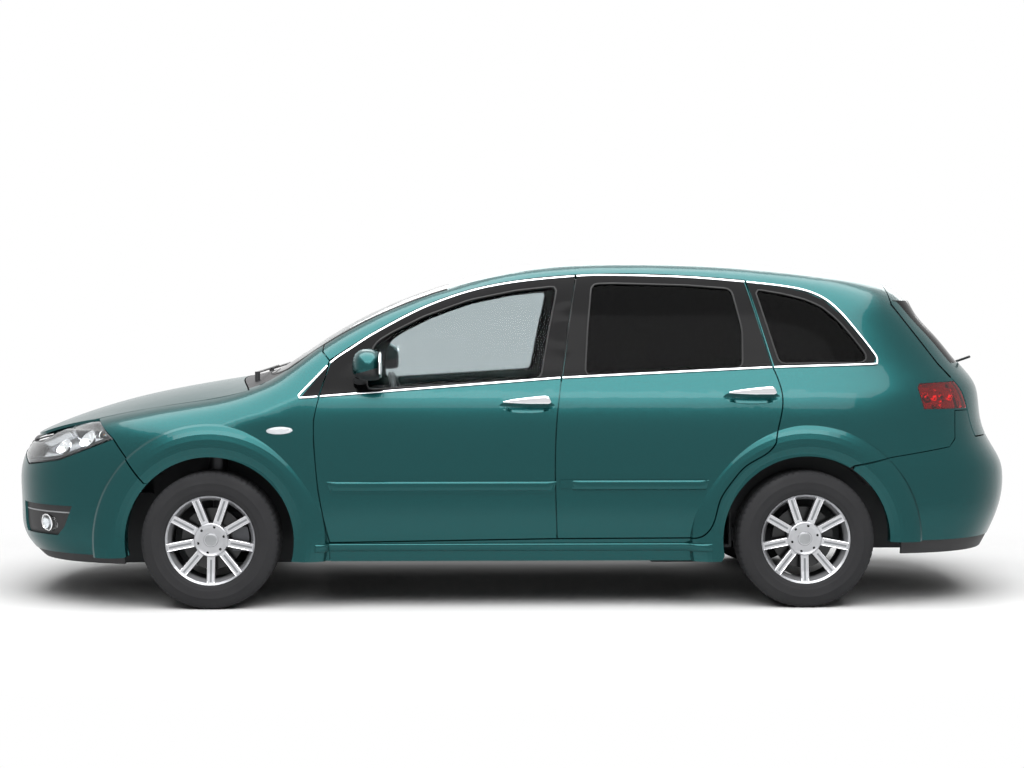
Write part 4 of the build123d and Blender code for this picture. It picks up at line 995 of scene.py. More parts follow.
@dataclass
class Wheel:
    """Dressing of one wheel: hub cover with black discs as painted shade for its holes, bright spoke edges
    with dark strips as painted shade for the spokes' grooves, treaded tyre.
    """
    end: End
    side: Side
    spokes: int = 9
    first: float = math.pi
    spoke_half: float = 0.0155
    groove_half: float = 0.0045
    holes: int = 6
    hole_ring: float = 0.060
    cap_radius: float = 0.077
    button_radius: float = 0.030
    bead: float = 0.2045
    side_groove: float = 0.0035
    rib_groove: float = 0.0025
    segments: int = 320
    pitch: int = 5

    @property
    def word(self) -> str:
        """Start of the wheel's node names."""
        return f"{self.end.word}_{self.side.word}"

    def build(self) -> None:
        """Makes the pieces that ride on this wheel."""
        low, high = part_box(f"{self.word}_wheel")
        self.hub = Vector(((low.x + high.x) / 2, 0, (low.z + high.z) / 2))
        self.out = Vector((0, self.side.value, 0))
        self.skin = Skin(f"{self.word}_wheel")
        self.body = f"{self.word}_wheel"
        self.cover_hub()
        self.edge_spokes()
        self.mould_tyre()

    def face(self, radius: float, angle: float) -> Spot:
        """Point of the wheel's outer face at a radius and angle."""
        spot = self.hub + Vector((radius * math.sin(angle), 0, radius * math.cos(angle)))
        found = self.skin.cast(spot + self.out * 1.2, -self.out)
        return found if found else (spot + self.out * 0.8, self.out)

    def cover_hub(self) -> None:
        """Shallow dish over the wheel bolts, with six black discs as painted shade for its holes, and a plain
        button.
        """
        seat = abs(self.face(0.045, 0.1)[0].y) + 0.0005
        centre = self.hub + self.out * seat
        edge = self.cap_radius
        dish = lathed([(0.0, 0.001), (0.031, 0.001), (0.033, 0.0045), (0.037, 0.0055), (0.050, 0.0035),
                       (0.064, 0.0045), (0.069, 0.0075), (edge - 0.004, 0.0085), (edge - 0.001, 0.0065),
                       (edge, 0.0), (edge, -0.004)], centre, self.out, 72)
        shop.piece(f"{self.word}_hub_cover", dish, "alloy", self.body)
        button = lathed([(0.0, 0.008), (0.018, 0.0078), (0.026, 0.0066), (self.button_radius, 0.004),
                         (self.button_radius, 0.0)], centre, self.out, 48)
        shop.piece(f"{self.word}_hub_button", button, "satin_silver", self.body)
        # Painted shade: black discs stand in for the shade inside six holes, which are not cut.
        hole_shades = []
        for k in range(self.holes):
            turn = 2 * math.pi * (k + 0.25) / self.holes
            spot = centre + Vector((math.sin(turn), 0, math.cos(turn))) * self.hole_ring
            hole_shade = [(0.0, 0.0044), (0.0036, 0.0044), (0.0052, 0.0052), (0.006, 0.0048), (0.006, 0.0)]
            hole_shades.append(lathed(hole_shade, spot, self.out, 16))
        shop.piece(f"{self.word}_hub_holes", merged(*hole_shades), "gloss_black", self.body)

    def edge_spokes(self) -> None:
        """Raised bright edge along both sides of each spoke, and a dark strip down its middle, lying on the
        face: painted shade for a groove.
        """
        rails, grooves = [], []
        round_bar = round_section(0.0021, 8)
        groove_shade = [(-self.groove_half, -0.001), (-self.groove_half, 0.0006), (self.groove_half, 0.0006),
                  (self.groove_half, -0.001)]
        for k in range(self.spokes):
            angle = self.first + 2 * math.pi * k / self.spokes
            for hand in (-1, 1):
                spots = [self.face(r, angle + hand * self.spoke_half / r)[0] + self.out * 0.0004
                         for r in [0.084 + 0.0115 * i for i in range(11)]]
                rails.append(swept(spots, round_bar, lambda i: self.out))
            # Painted shade: a darker grey strip lies on the spoke where a groove would be in shade.
            spots = [self.face(r, angle)[0] for r in [0.090 + 0.0100 * i for i in range(11)]]
            grooves.append(swept(spots, groove_shade, lambda i: self.out))
        shop.piece(f"{self.word}_spoke_edges", merged(*rails), "chrome", self.body)
        shop.piece(f"{self.word}_spoke_grooves", merged(*grooves), "lamp_grey", self.body)

    def mould_tyre(self) -> None:
        """Tyre with rounded shoulders, grooves round it and cuts across its shoulders."""
        low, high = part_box(f"{self.word}_tyre")
        half, radius = (high.y - low.y) / 2, (high.z - low.z) / 2 - 0.0002
        centre = Vector((self.hub.x, (low.y + high.y) / 2, (low.z + high.z) / 2))
        left = self.tyre_half(radius)
        profile = [(r, -w * half) for r, w in left] + [(r, w * half) for r, w in reversed(left)]
        profile += [(self.bead - 0.002, 0.80 * half), (self.bead - 0.002, -0.80 * half)]
        shoulder = {i for i, (r, w) in enumerate(profile) if r > radius - 0.011 and abs(w) > 0.69 * half}
        ribs = {i for i, (r, w) in enumerate(profile) if r > radius - 0.0009 and abs(w) < 0.66 * half}
        rings = []
        for k in range(self.segments):
            turn = 2 * math.pi * k / self.segments
            spoke = Vector((math.sin(turn), 0, math.cos(turn)))
            ring = []
            for i, (r, w) in enumerate(profile):
                cut = 0.0
                if i in shoulder and (k + (2 if w > 0 else 0)) % self.pitch == 0:
                    cut = self.side_groove
                elif i in ribs and (k + 1) % self.pitch == 0:
                    cut = self.rib_groove
                ring.append(centre + spoke * (r - cut) + Vector((0, w, 0)))
            rings.append(ring)
        piece = shop.piece(f"{self.word}_treaded_tyre", skinned(rings, looped=True), "tyre", self.body)
        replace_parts(piece, f"{self.word}_tyre")

    def tyre_half(self, radius: float) -> list[Flat]:
        """Half a tyre's section from the bead to the middle: radii, and shares of the half width."""
        wall = [(0, 0.86), (0.006, 0.905), (0.012, 0.925), (0.018, 0.93), (0.021, 0.955), (0.025, 0.96),
                (0.040, 0.985), (0.053, 0.993), (0.055, 1.0), (0.058, 1.0), (0.060, 0.992), (0.075, 0.975),
                (0.088, 0.945), (0.0975, 0.905)]
        crown = [(radius - 0.0045, 0.86), (radius - 0.0022, 0.80), (radius - 0.0012, 0.72)]
        tread = [(radius - 0.0006 - sink, middle + share) for middle in (0.62, 0.21)
                 for share, sink in ((0.055, 0.0), (0.045, 0.0065), (-0.045, 0.0065), (-0.055, 0.0))]
        return [*((self.bead + rise, share) for rise, share in wall), *crown, *tread]


class LampFace:
    """The outer skin of a lamp node, picked out of its mesh."""

    def __init__(self, node: str, side: Side, least: float = 0.12) -> None:
        """Finds the faces that look outwards on one side of the car.

        Args:
            node: the lamp's frame node.
            side: the side to take.
            least: smallest sideways part of an outward normal.
        """
        self.side = side
        work = opened(frame["nodes"][node].data)
        bmesh.ops.remove_doubles(work, verts=work.verts, dist=2e-5)
        tree = BVHTree.FromBMesh(work)
        drop = []
        for face in work.faces:
            middle, normal = face.calc_center_median(), face.normal
            outer = middle.y * side.value > 0 and normal.y * side.value > least
            if outer:
                outer = tree.ray_cast(middle + normal * 0.0015, normal, 0.5)[0] is None
            if not outer:
                drop.append(face)
        bmesh.ops.delete(work, geom=drop, context="FACES")
        drop_loose(work)
        work.verts.index_update()
        self.bm = work
        moments = sum((f.calc_center_median() * f.calc_area() for f in work.faces), Vector())
        self.middle = moments / max(1e-9, sum(f.calc_area() for f in work.faces))
        self.normal = sum((f.normal * f.calc_area() for f in work.faces), Vector()).normalized()
        self.tree = BVHTree.FromBMesh(work)

    def shell(self, thickness: float) -> Mesh:
        """The skin as a closed shell."""
        work = self.bm.copy()
        bmesh.ops.solidify(work, geom=list(work.faces), thickness=thickness)
        return closed_up(work)

    def rim(self) -> list[Vector]:
        """The skin's longest outline, walked in the same order on every run."""
        edges = [e for e in self.bm.edges if e.is_boundary]
        ahead: dict[int, list] = {}
        for edge in edges:
            for vert in edge.verts:
                ahead.setdefault(vert.index, []).append(edge)
        loops = []
        left = dict.fromkeys(edges)
        while left:
            edge = left.popitem()[0]
            vert, loop = edge.verts[1], [edge.verts[0]]
            while vert is not loop[0]:
                loop.append(vert)
                step = [e for e in ahead[vert.index] if e in left]
                if not step:
                    break
                del left[step[0]]
                vert = step[0].other_vert(vert)
            loops.append(loop)
        longest = max(loops, key=len)
        return [v.co.copy() for v in longest]

    def tray(self, depth: float, shrink: float = 0.86, sunk: float = 0.006, bands: int = 5) -> Mesh:
        """A bowl behind the skin with stepped walls.

        Args:
            depth: how far back its floor lies.
            shrink: size of its floor as a share of the skin.
            sunk: how far back its rim lies.
            bands: number of steps in its walls.

        Returns:
            The bowl's walls and floor.
        """
        way = -self.normal
        rim = self.rim()
        rings = []
        for band in range(bands + 1):
            for step in (0.0, 0.35):
                if band == bands and step:
                    continue
                share = shrink ** ((band + step) / bands)
                reach = sunk + depth * band / bands
                rings.append([self.middle + (p - self.middle) * share + way * reach for p in rim])
        floor = self.bm.copy()
        for vert in floor.verts:
            vert.co = self.middle + (vert.co - self.middle) * shrink + way * (sunk + depth)
        return merged(skinned(rings, capped=False), closed_up(floor))

    def at(self, x: float, z: float) -> Spot:
        """Skin point and normal at a place of the side view."""
        hand = self.side.value
        hit, normal, _, _ = self.tree.ray_cast(Vector((x, hand * 1.4, z)), Vector((0, -hand, 0)))
        if hit is None:
            hit, normal, _, _ = self.tree.find_nearest(Vector((x, hand * 0.7, z)))
        return hit, normal


@dataclass
class Headlamp:
    """Clear lens over a bright stepped bowl with two round reflectors, bulbs and a turn lamp."""
    side: Side
    lens: float = 0.0025
    bowl_depth: float = 0.045
    lamps: tuple[tuple[str, float, float, float], ...] = (
        ("main", -1.955, 0.772, 0.044), ("beam", -2.075, 0.735, 0.040), ("turn", -1.880, 0.800, 0.024))

    def build(self) -> None:
        """Makes the lens and what shows through it."""
        word = self.side.word
        face = LampFace("headlamps", self.side)
        piece = shop.piece(f"headlamp_lens_{word}", face.shell(self.lens), "lens")
        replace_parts(piece, "headlamps")
        shop.piece(f"headlamp_bowl_{word}", face.tray(self.bowl_depth), "lamp_silver")
        way = face.normal
        for name, x, z, radius in self.lamps:
            spot = face.at(x, z)[0] - way * 0.012
            bowl = lathed([(radius, 0.0), (radius * 0.97, -0.004), (radius * 0.82, -0.016),
                           (radius * 0.5, -0.027), (0.012, -0.032), (0.0, -0.032)], spot, way, 40)
            rim = lathed([(radius, -0.003), (radius, 0.001), (radius * 1.05, 0.002), (radius * 1.08, -0.003)],
                         spot, way, 40)
            shop.piece(f"headlamp_{name}_reflector_{word}", merged(bowl, rim), "reflector")
            profile = [(0.0, -0.004), (0.005, -0.005), (0.0075, -0.010), (0.0075, -0.022), (0.009, -0.031)]
            bulb = lathed(profile, spot, way, 20)
            shop.piece(f"headlamp_{name}_bulb_{word}", bulb, "amber_lens" if name == "turn" else "bulb")


@dataclass
class TailLamp:
    """Red lens over a bright stepped tray with three round reflectors."""
    side: Side
    lens: float = 0.0025
    lamps: tuple[tuple[float, float, float], ...] = (
        (1.925, 0.968, 0.030), (2.005, 0.968, 0.030), (1.960, 0.927, 0.018))

    def build(self) -> None:
        """Makes the lens, its tray and its reflectors."""
        word = self.side.word
        face = LampFace("tail_lamps", self.side, 0.05)
        piece = shop.piece(f"tail_lens_{word}", face.shell(self.lens), "red_lens")
        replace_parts(piece, "tail_lamps")
        shop.piece(f"tail_tray_{word}", face.tray(0.030, 0.9, 0.005, 3), "reflector")
        way = face.normal
        for k, (x, z, radius) in enumerate(self.lamps):
            spot = face.at(x, z)[0] - way * 0.010
            bowl = lathed([(radius, 0.0), (radius * 0.9, -0.008), (radius * 0.55, -0.016), (0.004, -0.019),
                           (0.0, -0.019)], spot, way, 32)
            shop.piece(f"tail_reflector_{k}_{word}", bowl, "reflector")


@dataclass
class FogLamp:
    """Round lamp low in the bumper, with a bar across its dark surround."""
    side: Side
    bar_height: float = 0.428
    bar_start: float = 0.495
    bar_step: float = 0.010
    bar_points: int = 25

    def build(self) -> None:
        """Makes the lamp's bowl and lens and the bar."""
        word, hand = self.side.word, self.side.value
        grille = Skin("front_grille", "front_bumper")
        low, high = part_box("fog_lamps")
        lamp = Skin("fog_lamps")
        found = lamp.cast(Vector((-2.6, hand * (high.y - 0.038), (low.z + high.z) / 2)), BACK)
        if not found:
            log.info("no fog lamp face found")
            return
        spot, way = found
        bowl = lathed([(0.040, 0.0005), (0.037, 0.0025), (0.035, 0.0), (0.030, -0.004), (0.015, -0.008),
                       (0.0, -0.009)], spot, way, 40)
        shop.piece(f"fog_bowl_{word}", bowl, "reflector")
        glass = lathed([(0.0355, 0.0), (0.030, 0.0032), (0.018, 0.0052), (0.0, 0.006)], spot, way, 40)
        back = lathed([(0.0355, -0.001), (0.030, 0.0018), (0.018, 0.0036), (0.0, 0.0044)], spot, way, 40)
        back.flip_normals()
        shop.piece(f"fog_lens_{word}", merged(glass, back), "lens")
        spots = []
        for k in range(self.bar_points):
            y = hand * (self.bar_start + self.bar_step * k)
            hit = grille.cast(Vector((-2.7, y, self.bar_height)), BACK)
            if hit and hit[0].x < -1.95:
                spots.append(hit)
        if len(spots) > 4:
            section = [(-0.003, -0.003), (-0.003, 0.002), (-0.001, 0.0035), (0.001, 0.0035), (0.003, 0.002),
                       (0.003, -0.003)]
            crossing = swept([hit for hit, _ in spots], section, lambda i: spots[i][1])
            shop.piece(f"fog_bar_{word}", crossing, "satin_silver")


def rounded(loop: Sequence[Flat], radius: float = 0.03) -> list[Flat]:
    """A closed outline with its corners rounded and its long edges divided."""
    soft = []
    steps = 5
    for i, spot in enumerate(loop):
        corner = Vector(spot)
        before, after = Vector(loop[i - 1]) - corner, Vector(loop[(i + 1) % len(loop)]) - corner
        start, end = (corner + way.normalized() * min(radius, way.length * 0.45) for way in (before, after))
        for share in (k / steps for k in range(steps + 1)):
            soft.append(tuple(start.lerp(corner, share).lerp(corner.lerp(end, share), share)))
    return divided(soft)


def settled(obj: Object) -> Mesh:
    """The object's mesh with its modifiers applied."""
    graph = bpy.context.evaluated_depsgraph_get()
    return bpy.data.meshes.new_from_object(obj.evaluated_get(graph), depsgraph=graph)


VOXEL = 0.012           # size of the even mesh that is simulated as cloth
TRAVEL = 0.012          # how far a point of it may move
PRESSURE = 4.0          # air pressure inside a cushion
FRAMES = 20             # steps of the simulation


def plumped(mesh: Mesh) -> Mesh:
    """Swells a closed cushion shape, drawn a little small, as cloth under pressure, and subdivides it."""
    scene = bpy.context.scene
    draft = bpy.data.objects.new("draft", mesh)
    scene.collection.objects.link(draft)
    remesh = draft.modifiers.new("voxels", "REMESH")
    remesh.mode, remesh.voxel_size = "VOXEL", VOXEL
    start = settled(draft)
    draft.modifiers.clear()
    draft.data = start
    cloth = draft.modifiers.new("cloth", "CLOTH")
    cloth.settings.use_pressure = True
    cloth.settings.uniform_pressure_force = PRESSURE
    cloth.settings.effector_weights.gravity = 0
    for number in range(1, FRAMES + 1):
        scene.frame_set(number)
    swollen = settled(draft)
    draft.modifiers.clear()
    for before, after in zip(start.vertices, swollen.vertices):
        way = after.co - before.co
        after.co = before.co + way * min(1.0, TRAVEL / max(way.length, 1e-9))
    draft.data = swollen
    scene.frame_set(1)
    draft.modifiers.new("finer", "SUBSURF").levels = 1
    whole = settled(draft)
    bpy.data.objects.remove(draft)
    return whole


@dataclass
class Pad:
    """A stuffed pad: sections across it along its length, raised at its sides, with sewn channels."""
    length: float
    width: float
    thick: float
    bolster: float = 0.018
    taper: float = 0.0
    channels: tuple[tuple[Flat, Flat], ...] = ()
    rings: int = 18
    sides: int = 40
    channel_depth: float = 0.009
    channel_width: float = 0.011

    def draft(self) -> Mesh:
        """The pad before it is stuffed: length along X, width along Y, thickness along Z."""
        loops = []
        for i in range(self.rings + 1):
            t = i / self.rings
            end = max(0.0, 1 - abs(2 * t - 1) ** 5) ** 0.5
            half = self.width / 2 * (1 - self.taper * t * t) * (0.90 + 0.10 * end)
            tall = self.thick / 2 * (0.45 + 0.55 * end)
            loop = []
            for k in range(self.sides):
                turn = 2 * math.pi * k / self.sides
                c, s = math.cos(turn), math.sin(turn)
                across = half * abs(c) ** 0.5 * math.copysign(1, c)
                up = tall * abs(s) ** 0.5 * math.copysign(1, s)
                share = abs(across) / half
                up += self.bolster * end * max(0.0, share - 0.45) * 2.2 * (1 - share ** 8) if s > 0 else 0.0
                loop.append(Vector((self.length * t, across, self.thick / 2 + up)))
            loops.append(loop)
        return skinned(loops)

    def build(self, place: Matrix) -> Mesh:
        """The stuffed pad with its channels sewn in, set in place."""
        mesh = plumped(self.draft())
        normals = [v.normal.copy() for v in mesh.vertices]
        for vert, normal in zip(mesh.vertices, normals):
            if normal.z < 0.25:
                continue
            spot = Vector((vert.co.x, vert.co.y))
            gap = min((self.gap(spot, a, b) for a, b in self.channels), default=1.0)
            vert.co -= normal * self.channel_depth * math.exp(-(gap / self.channel_width) ** 2)
        mesh.transform(place)
        return mesh

    @staticmethod
    def gap(spot: Vector, start: Flat, end: Flat) -> float:
        """Distance from a flat point to a channel."""
        a, b = Vector(start), Vector(end)
        share = max(0.0, min(1.0, (spot - a).dot(b - a) / (b - a).length_squared))
        return (spot - a.lerp(b, share)).length


def leaning(x: float, y: float, z: float, tilt: float) -> Matrix:
    """Frame of a seat back that leans by `tilt` degrees: X up it, Y across, Z towards the sitter."""
    lean = math.radians(tilt)
    up = Vector((math.sin(lean), 0, math.cos(lean)))
    front = Vector((-math.cos(lean), 0, math.sin(lean)))
    turn = Matrix((up, front.cross(up), front)).transposed()
    return Matrix.Translation((x, y, z)) @ turn.to_4x4()


@dataclass
class FrontSeat:
    """Front seat: cushion, back and headrest pads on rails and posts."""
    side: Side
    track: float = 0.36
    rail_gap: float = 0.18
    tilt: float = 18.0
    base: Flat = (0.376, 0.500)
    cushion_seams: tuple[tuple[Flat, Flat], ...] = (
        ((0.03, -0.135), (0.46, -0.135)), ((0.03, 0.135), (0.46, 0.135)),
        ((0.15, -0.135), (0.15, 0.135)), ((0.31, -0.135), (0.31, 0.135)))
    back_seams: tuple[tuple[Flat, Flat], ...] = (
        ((0.05, -0.125), (0.56, -0.105)), ((0.05, 0.125), (0.56, 0.105)),
        ((0.20, -0.12), (0.20, 0.12)), ((0.38, -0.11), (0.38, 0.11)))

    def build(self) -> list[Object]:
        """Makes the seat, and returns its pieces."""
        y = self.side.value * self.track
        back = leaning(self.base[0], y, self.base[1], self.tilt)
        pads = (("seat_cushion", Pad(0.485, 0.470, 0.092, channels=self.cushion_seams),
                 Matrix.Translation((-0.162, y, 0.394))),
                ("seat_back", Pad(0.600, 0.440, 0.078, 0.020, 0.16, channels=self.back_seams),
                 back @ Matrix.Translation((-0.012, 0, -0.052))),
                ("headrest", Pad(0.135, 0.215, 0.052, 0.0, 0.10),
                 back @ Matrix.Translation((0.678, 0, -0.036))))
        made = []
        for name, pad, place in pads:
            made.append(shop.piece(f"front_{name}_{self.side.word}", pad.build(place), "cloth"))
        posts = merged(*(headrest_post(back, gap, -0.006, 0.58, 0.70, 12) for gap in (-0.054, 0.054)))
        sides = [y + gap for gap in (-self.rail_gap, self.rail_gap)]
        rails = [rounded_block((0.48, 0.036, 0.022), 0.004, Vector((0.08, side, 0.275))) for side in sides]
        rails += [rounded_block((0.40, 0.026, 0.105), 0.006, Vector((0.09, side, 0.338))) for side in sides]
        shell = rounded_block((0.50, 0.385, 0.018), 0.008, Vector(), steps=2)
        shell.transform(back @ Matrix.Translation((0.285, 0, -0.062)))
        rest = (("headrest_posts", posts, "chrome"), ("seat_rails", merged(*rails), "steel"),
                ("seat_back_shell", shell, "interior"))
        for name, mesh, finish in rest:
            made.append(shop.piece(f"front_{name}_{self.side.word}", mesh, finish))
        return made


def headrest_post(back: Matrix, across: float, out: float, low: float, high: float,
                  sides: int) -> Mesh:
    """A post along a seat back.

    Args:
        back: frame of the seat back.
        across: its place across the back.
        out: its place towards the sitter.
        low: where it starts, up the back.
        high: where it stops.
        sides: facets round it.

    Returns:
        The post.
    """
    start, end = (back @ Vector((h, across, out)) for h in (low, high))
    return bar(start, start.lerp(end, 0.5), end, 0.006, sides)


@dataclass
class RearBench:
    """Rear bench: one cushion, a back split in two and three headrests, on a moulded base."""
    tilt: float = 16.0
    base: Flat = (0.922, 0.500)
    split: float = 0.205
    gap: float = 0.004
    end: float = 0.592
    seam: float = 0.06
    headrests: tuple[float, ...] = (-0.38, 0.0, 0.38)
    cushion_seams: tuple[tuple[Flat, Flat], ...] = (
        ((0.10, -0.53), (0.10, 0.53)), ((0.03, -0.20), (0.38, -0.20)), ((0.03, 0.20), (0.38, 0.20)))

    def build(self) -> list[Object]:
        """Makes the bench, and returns its pieces."""
        cushion = Pad(0.405, 1.165, 0.100, 0.008, channels=self.cushion_seams)
        made = [shop.piece("rear_cushion", cushion.build(Matrix.Translation((0.575, 0, 0.397))), "cloth")]
        back = leaning(self.base[0], 0, self.base[1], self.tilt)
        for name, low, high in (("wide", -self.end, self.split - self.gap),
                                ("narrow", self.split + self.gap, self.end)):
            middle = (low + high) / 2
            left, right = low - middle + self.seam, high - middle - self.seam
            seams = (((0.10, left), (0.10, right)), ((0.10, left), (0.47, left)),
                     ((0.10, right), (0.47, right)))
            pad = Pad(0.515, high - low - 0.024, 0.080, 0.006, channels=seams)
            place = back @ Matrix.Translation((-0.012, -middle, -0.038))
            made.append(shop.piece(f"rear_back_{name}", pad.build(place), "cloth"))
        for k, y in enumerate(self.headrests):
            place = back @ Matrix.Translation((0.542, -y, -0.024))
            made.append(shop.piece(f"rear_headrest_{k}", Pad(0.105, 0.215, 0.044, 0.0).build(place), "cloth"))
        posts = [headrest_post(back, across - y, 0.0, 0.49, 0.56, 10)
                 for y in self.headrests for across in (-0.044, 0.044)]
        made.append(shop.piece("rear_headrest_posts", merged(*posts), "chrome"))
        bases = [rounded_block((0.29, 0.42, 0.15), 0.012, Vector((0.85, y, 0.337))) for y in (-0.348, 0.348)]
        made.append(shop.piece("rear_bench_base", merged(*bases), "carpet"))
        return made


@dataclass
class Upholstery:
    """Seats, carpets, headliner and door cards."""
    card_lift: float = 0.006
    cards: dict[str, tuple[Flat, ...]] = field(default_factory=lambda: {
        "front": mm((-770, 380), (-800, 560), (-800, 800), (-770, 950), (60, 1000), (110, 980), (120, 800),
                    (125, 560), (120, 380), (80, 345), (-730, 345)),
        "rear": mm((270, 370), (262, 600), (270, 850), (290, 1020), (1060, 1060), (1110, 1010), (1110, 800),
                   (1050, 715), (960, 640), (885, 560), (830, 450), (790, 370), (740, 345), (300, 345))})

    def build(self) -> None:
        """Makes the cabin's soft trim."""
        seats = [piece for side in Side for piece in FrontSeat(side).build()]
        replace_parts(seats[0], "front_seats")
        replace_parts(RearBench().build()[0], "rear_seat")
        self.lay_carpet()
        self.line_roof()
        for side in Side:
            for end in End:
                self.door_card(end, side)

    def lay_carpet(self) -> None:
        """Carpet on the cabin floor, and in the boot."""
        floor = Skin("floor")

        def below(x: float, y: float) -> Spot:
            """The floor under a point, or a place of its height where it is open."""
            found = floor.cast(Vector((x, y, 0.9)), DOWN)
            return (found[0] if found else Vector((x, y, 0.27))), UP

        cabin = mm((-900, -560), (540, -600), (540, 600), (-900, 560))
        boot = mm((1160, -560), (1940, -540), (1940, 540), (1160, 560))
        for name, outline in (("cabin", cabin), ("boot", boot)):
            mesh = conformed(rounded(outline, 0.04), below, 0.004, edge=0.0035)
            shop.piece(f"{name}_carpet", mesh, "carpet")

    def line_roof(self) -> None:
        """Headliner under the roof."""
        roof = Skin("roof")

        def above(x: float, y: float) -> Spot:
            """The roof over a point, or a place of its height where it is open."""
            found = roof.cast(Vector((x, y, 1.2)), UP)
            return (found[0] if found else Vector((x, y, 1.5))), DOWN

        outline = mm((-80, -430), (300, -520), (900, -530), (1500, -500),
                     (1500, 500), (900, 530), (300, 520), (-80, 430))
        mesh = conformed(rounded(outline, 0.06), above, 0.006, spacing=0.04, edge=0.005)
        shop.piece("headliner", mesh, "headliner")

    def door_card(self, end: End, side: Side) -> None:
        """Inner panel of a door with its armrest, pull, speaker and opener."""
        skin = Skin(f"{end.word}_left_door")

        def inner(x: float, z: float) -> Spot:
            """The door's inner face at a place of the side view, or a place of its depth where it is open."""
            found = skin.cast(Vector((x, -0.25, z)), LEFT)
            return (found[0] if found and found[0].y < -0.5 else Vector((x, -0.72, z))), RIGHT

        outline = rounded(self.cards[end.word], 0.05)
        start = min(p[0] for p in outline)
        arm, speaker, opener = (inner(start + x, z)[0] for x, z in ((0.42, 0.66), (0.20, 0.46), (0.16, 0.86)))
        rest = rounded_block((0.40, 0.052, 0.055), 0.020, arm + Vector((0, 0.030, 0)), steps=4)
        pull = rounded_block((0.16, 0.026, 0.030), 0.012, arm + Vector((-0.02, 0.045, 0.055)))
        ring = [(0.078, -0.002), (0.078, 0.006), (0.072, 0.009), (0.066, 0.006), (0.060, 0.003), (0.0, 0.005)]
        lever = rounded_block((0.105, 0.014, 0.030), 0.006, opener + Vector((0, 0.014, 0)))
        for name, mesh, finish in (
                ("card", conformed(outline, inner, self.card_lift, edge=0.005), "interior"),
                ("armrest", merged(rest, pull), "leather"),
                ("speaker", lathed(ring, speaker + Vector((0, 0.006, 0)), RIGHT), "black_plastic"),
                ("opener", lever, "chrome")):
            shop.sided(f"door_{name}_{end.word}_{{}}", mesh, finish, side, f"{end.word}_{{}}_door")


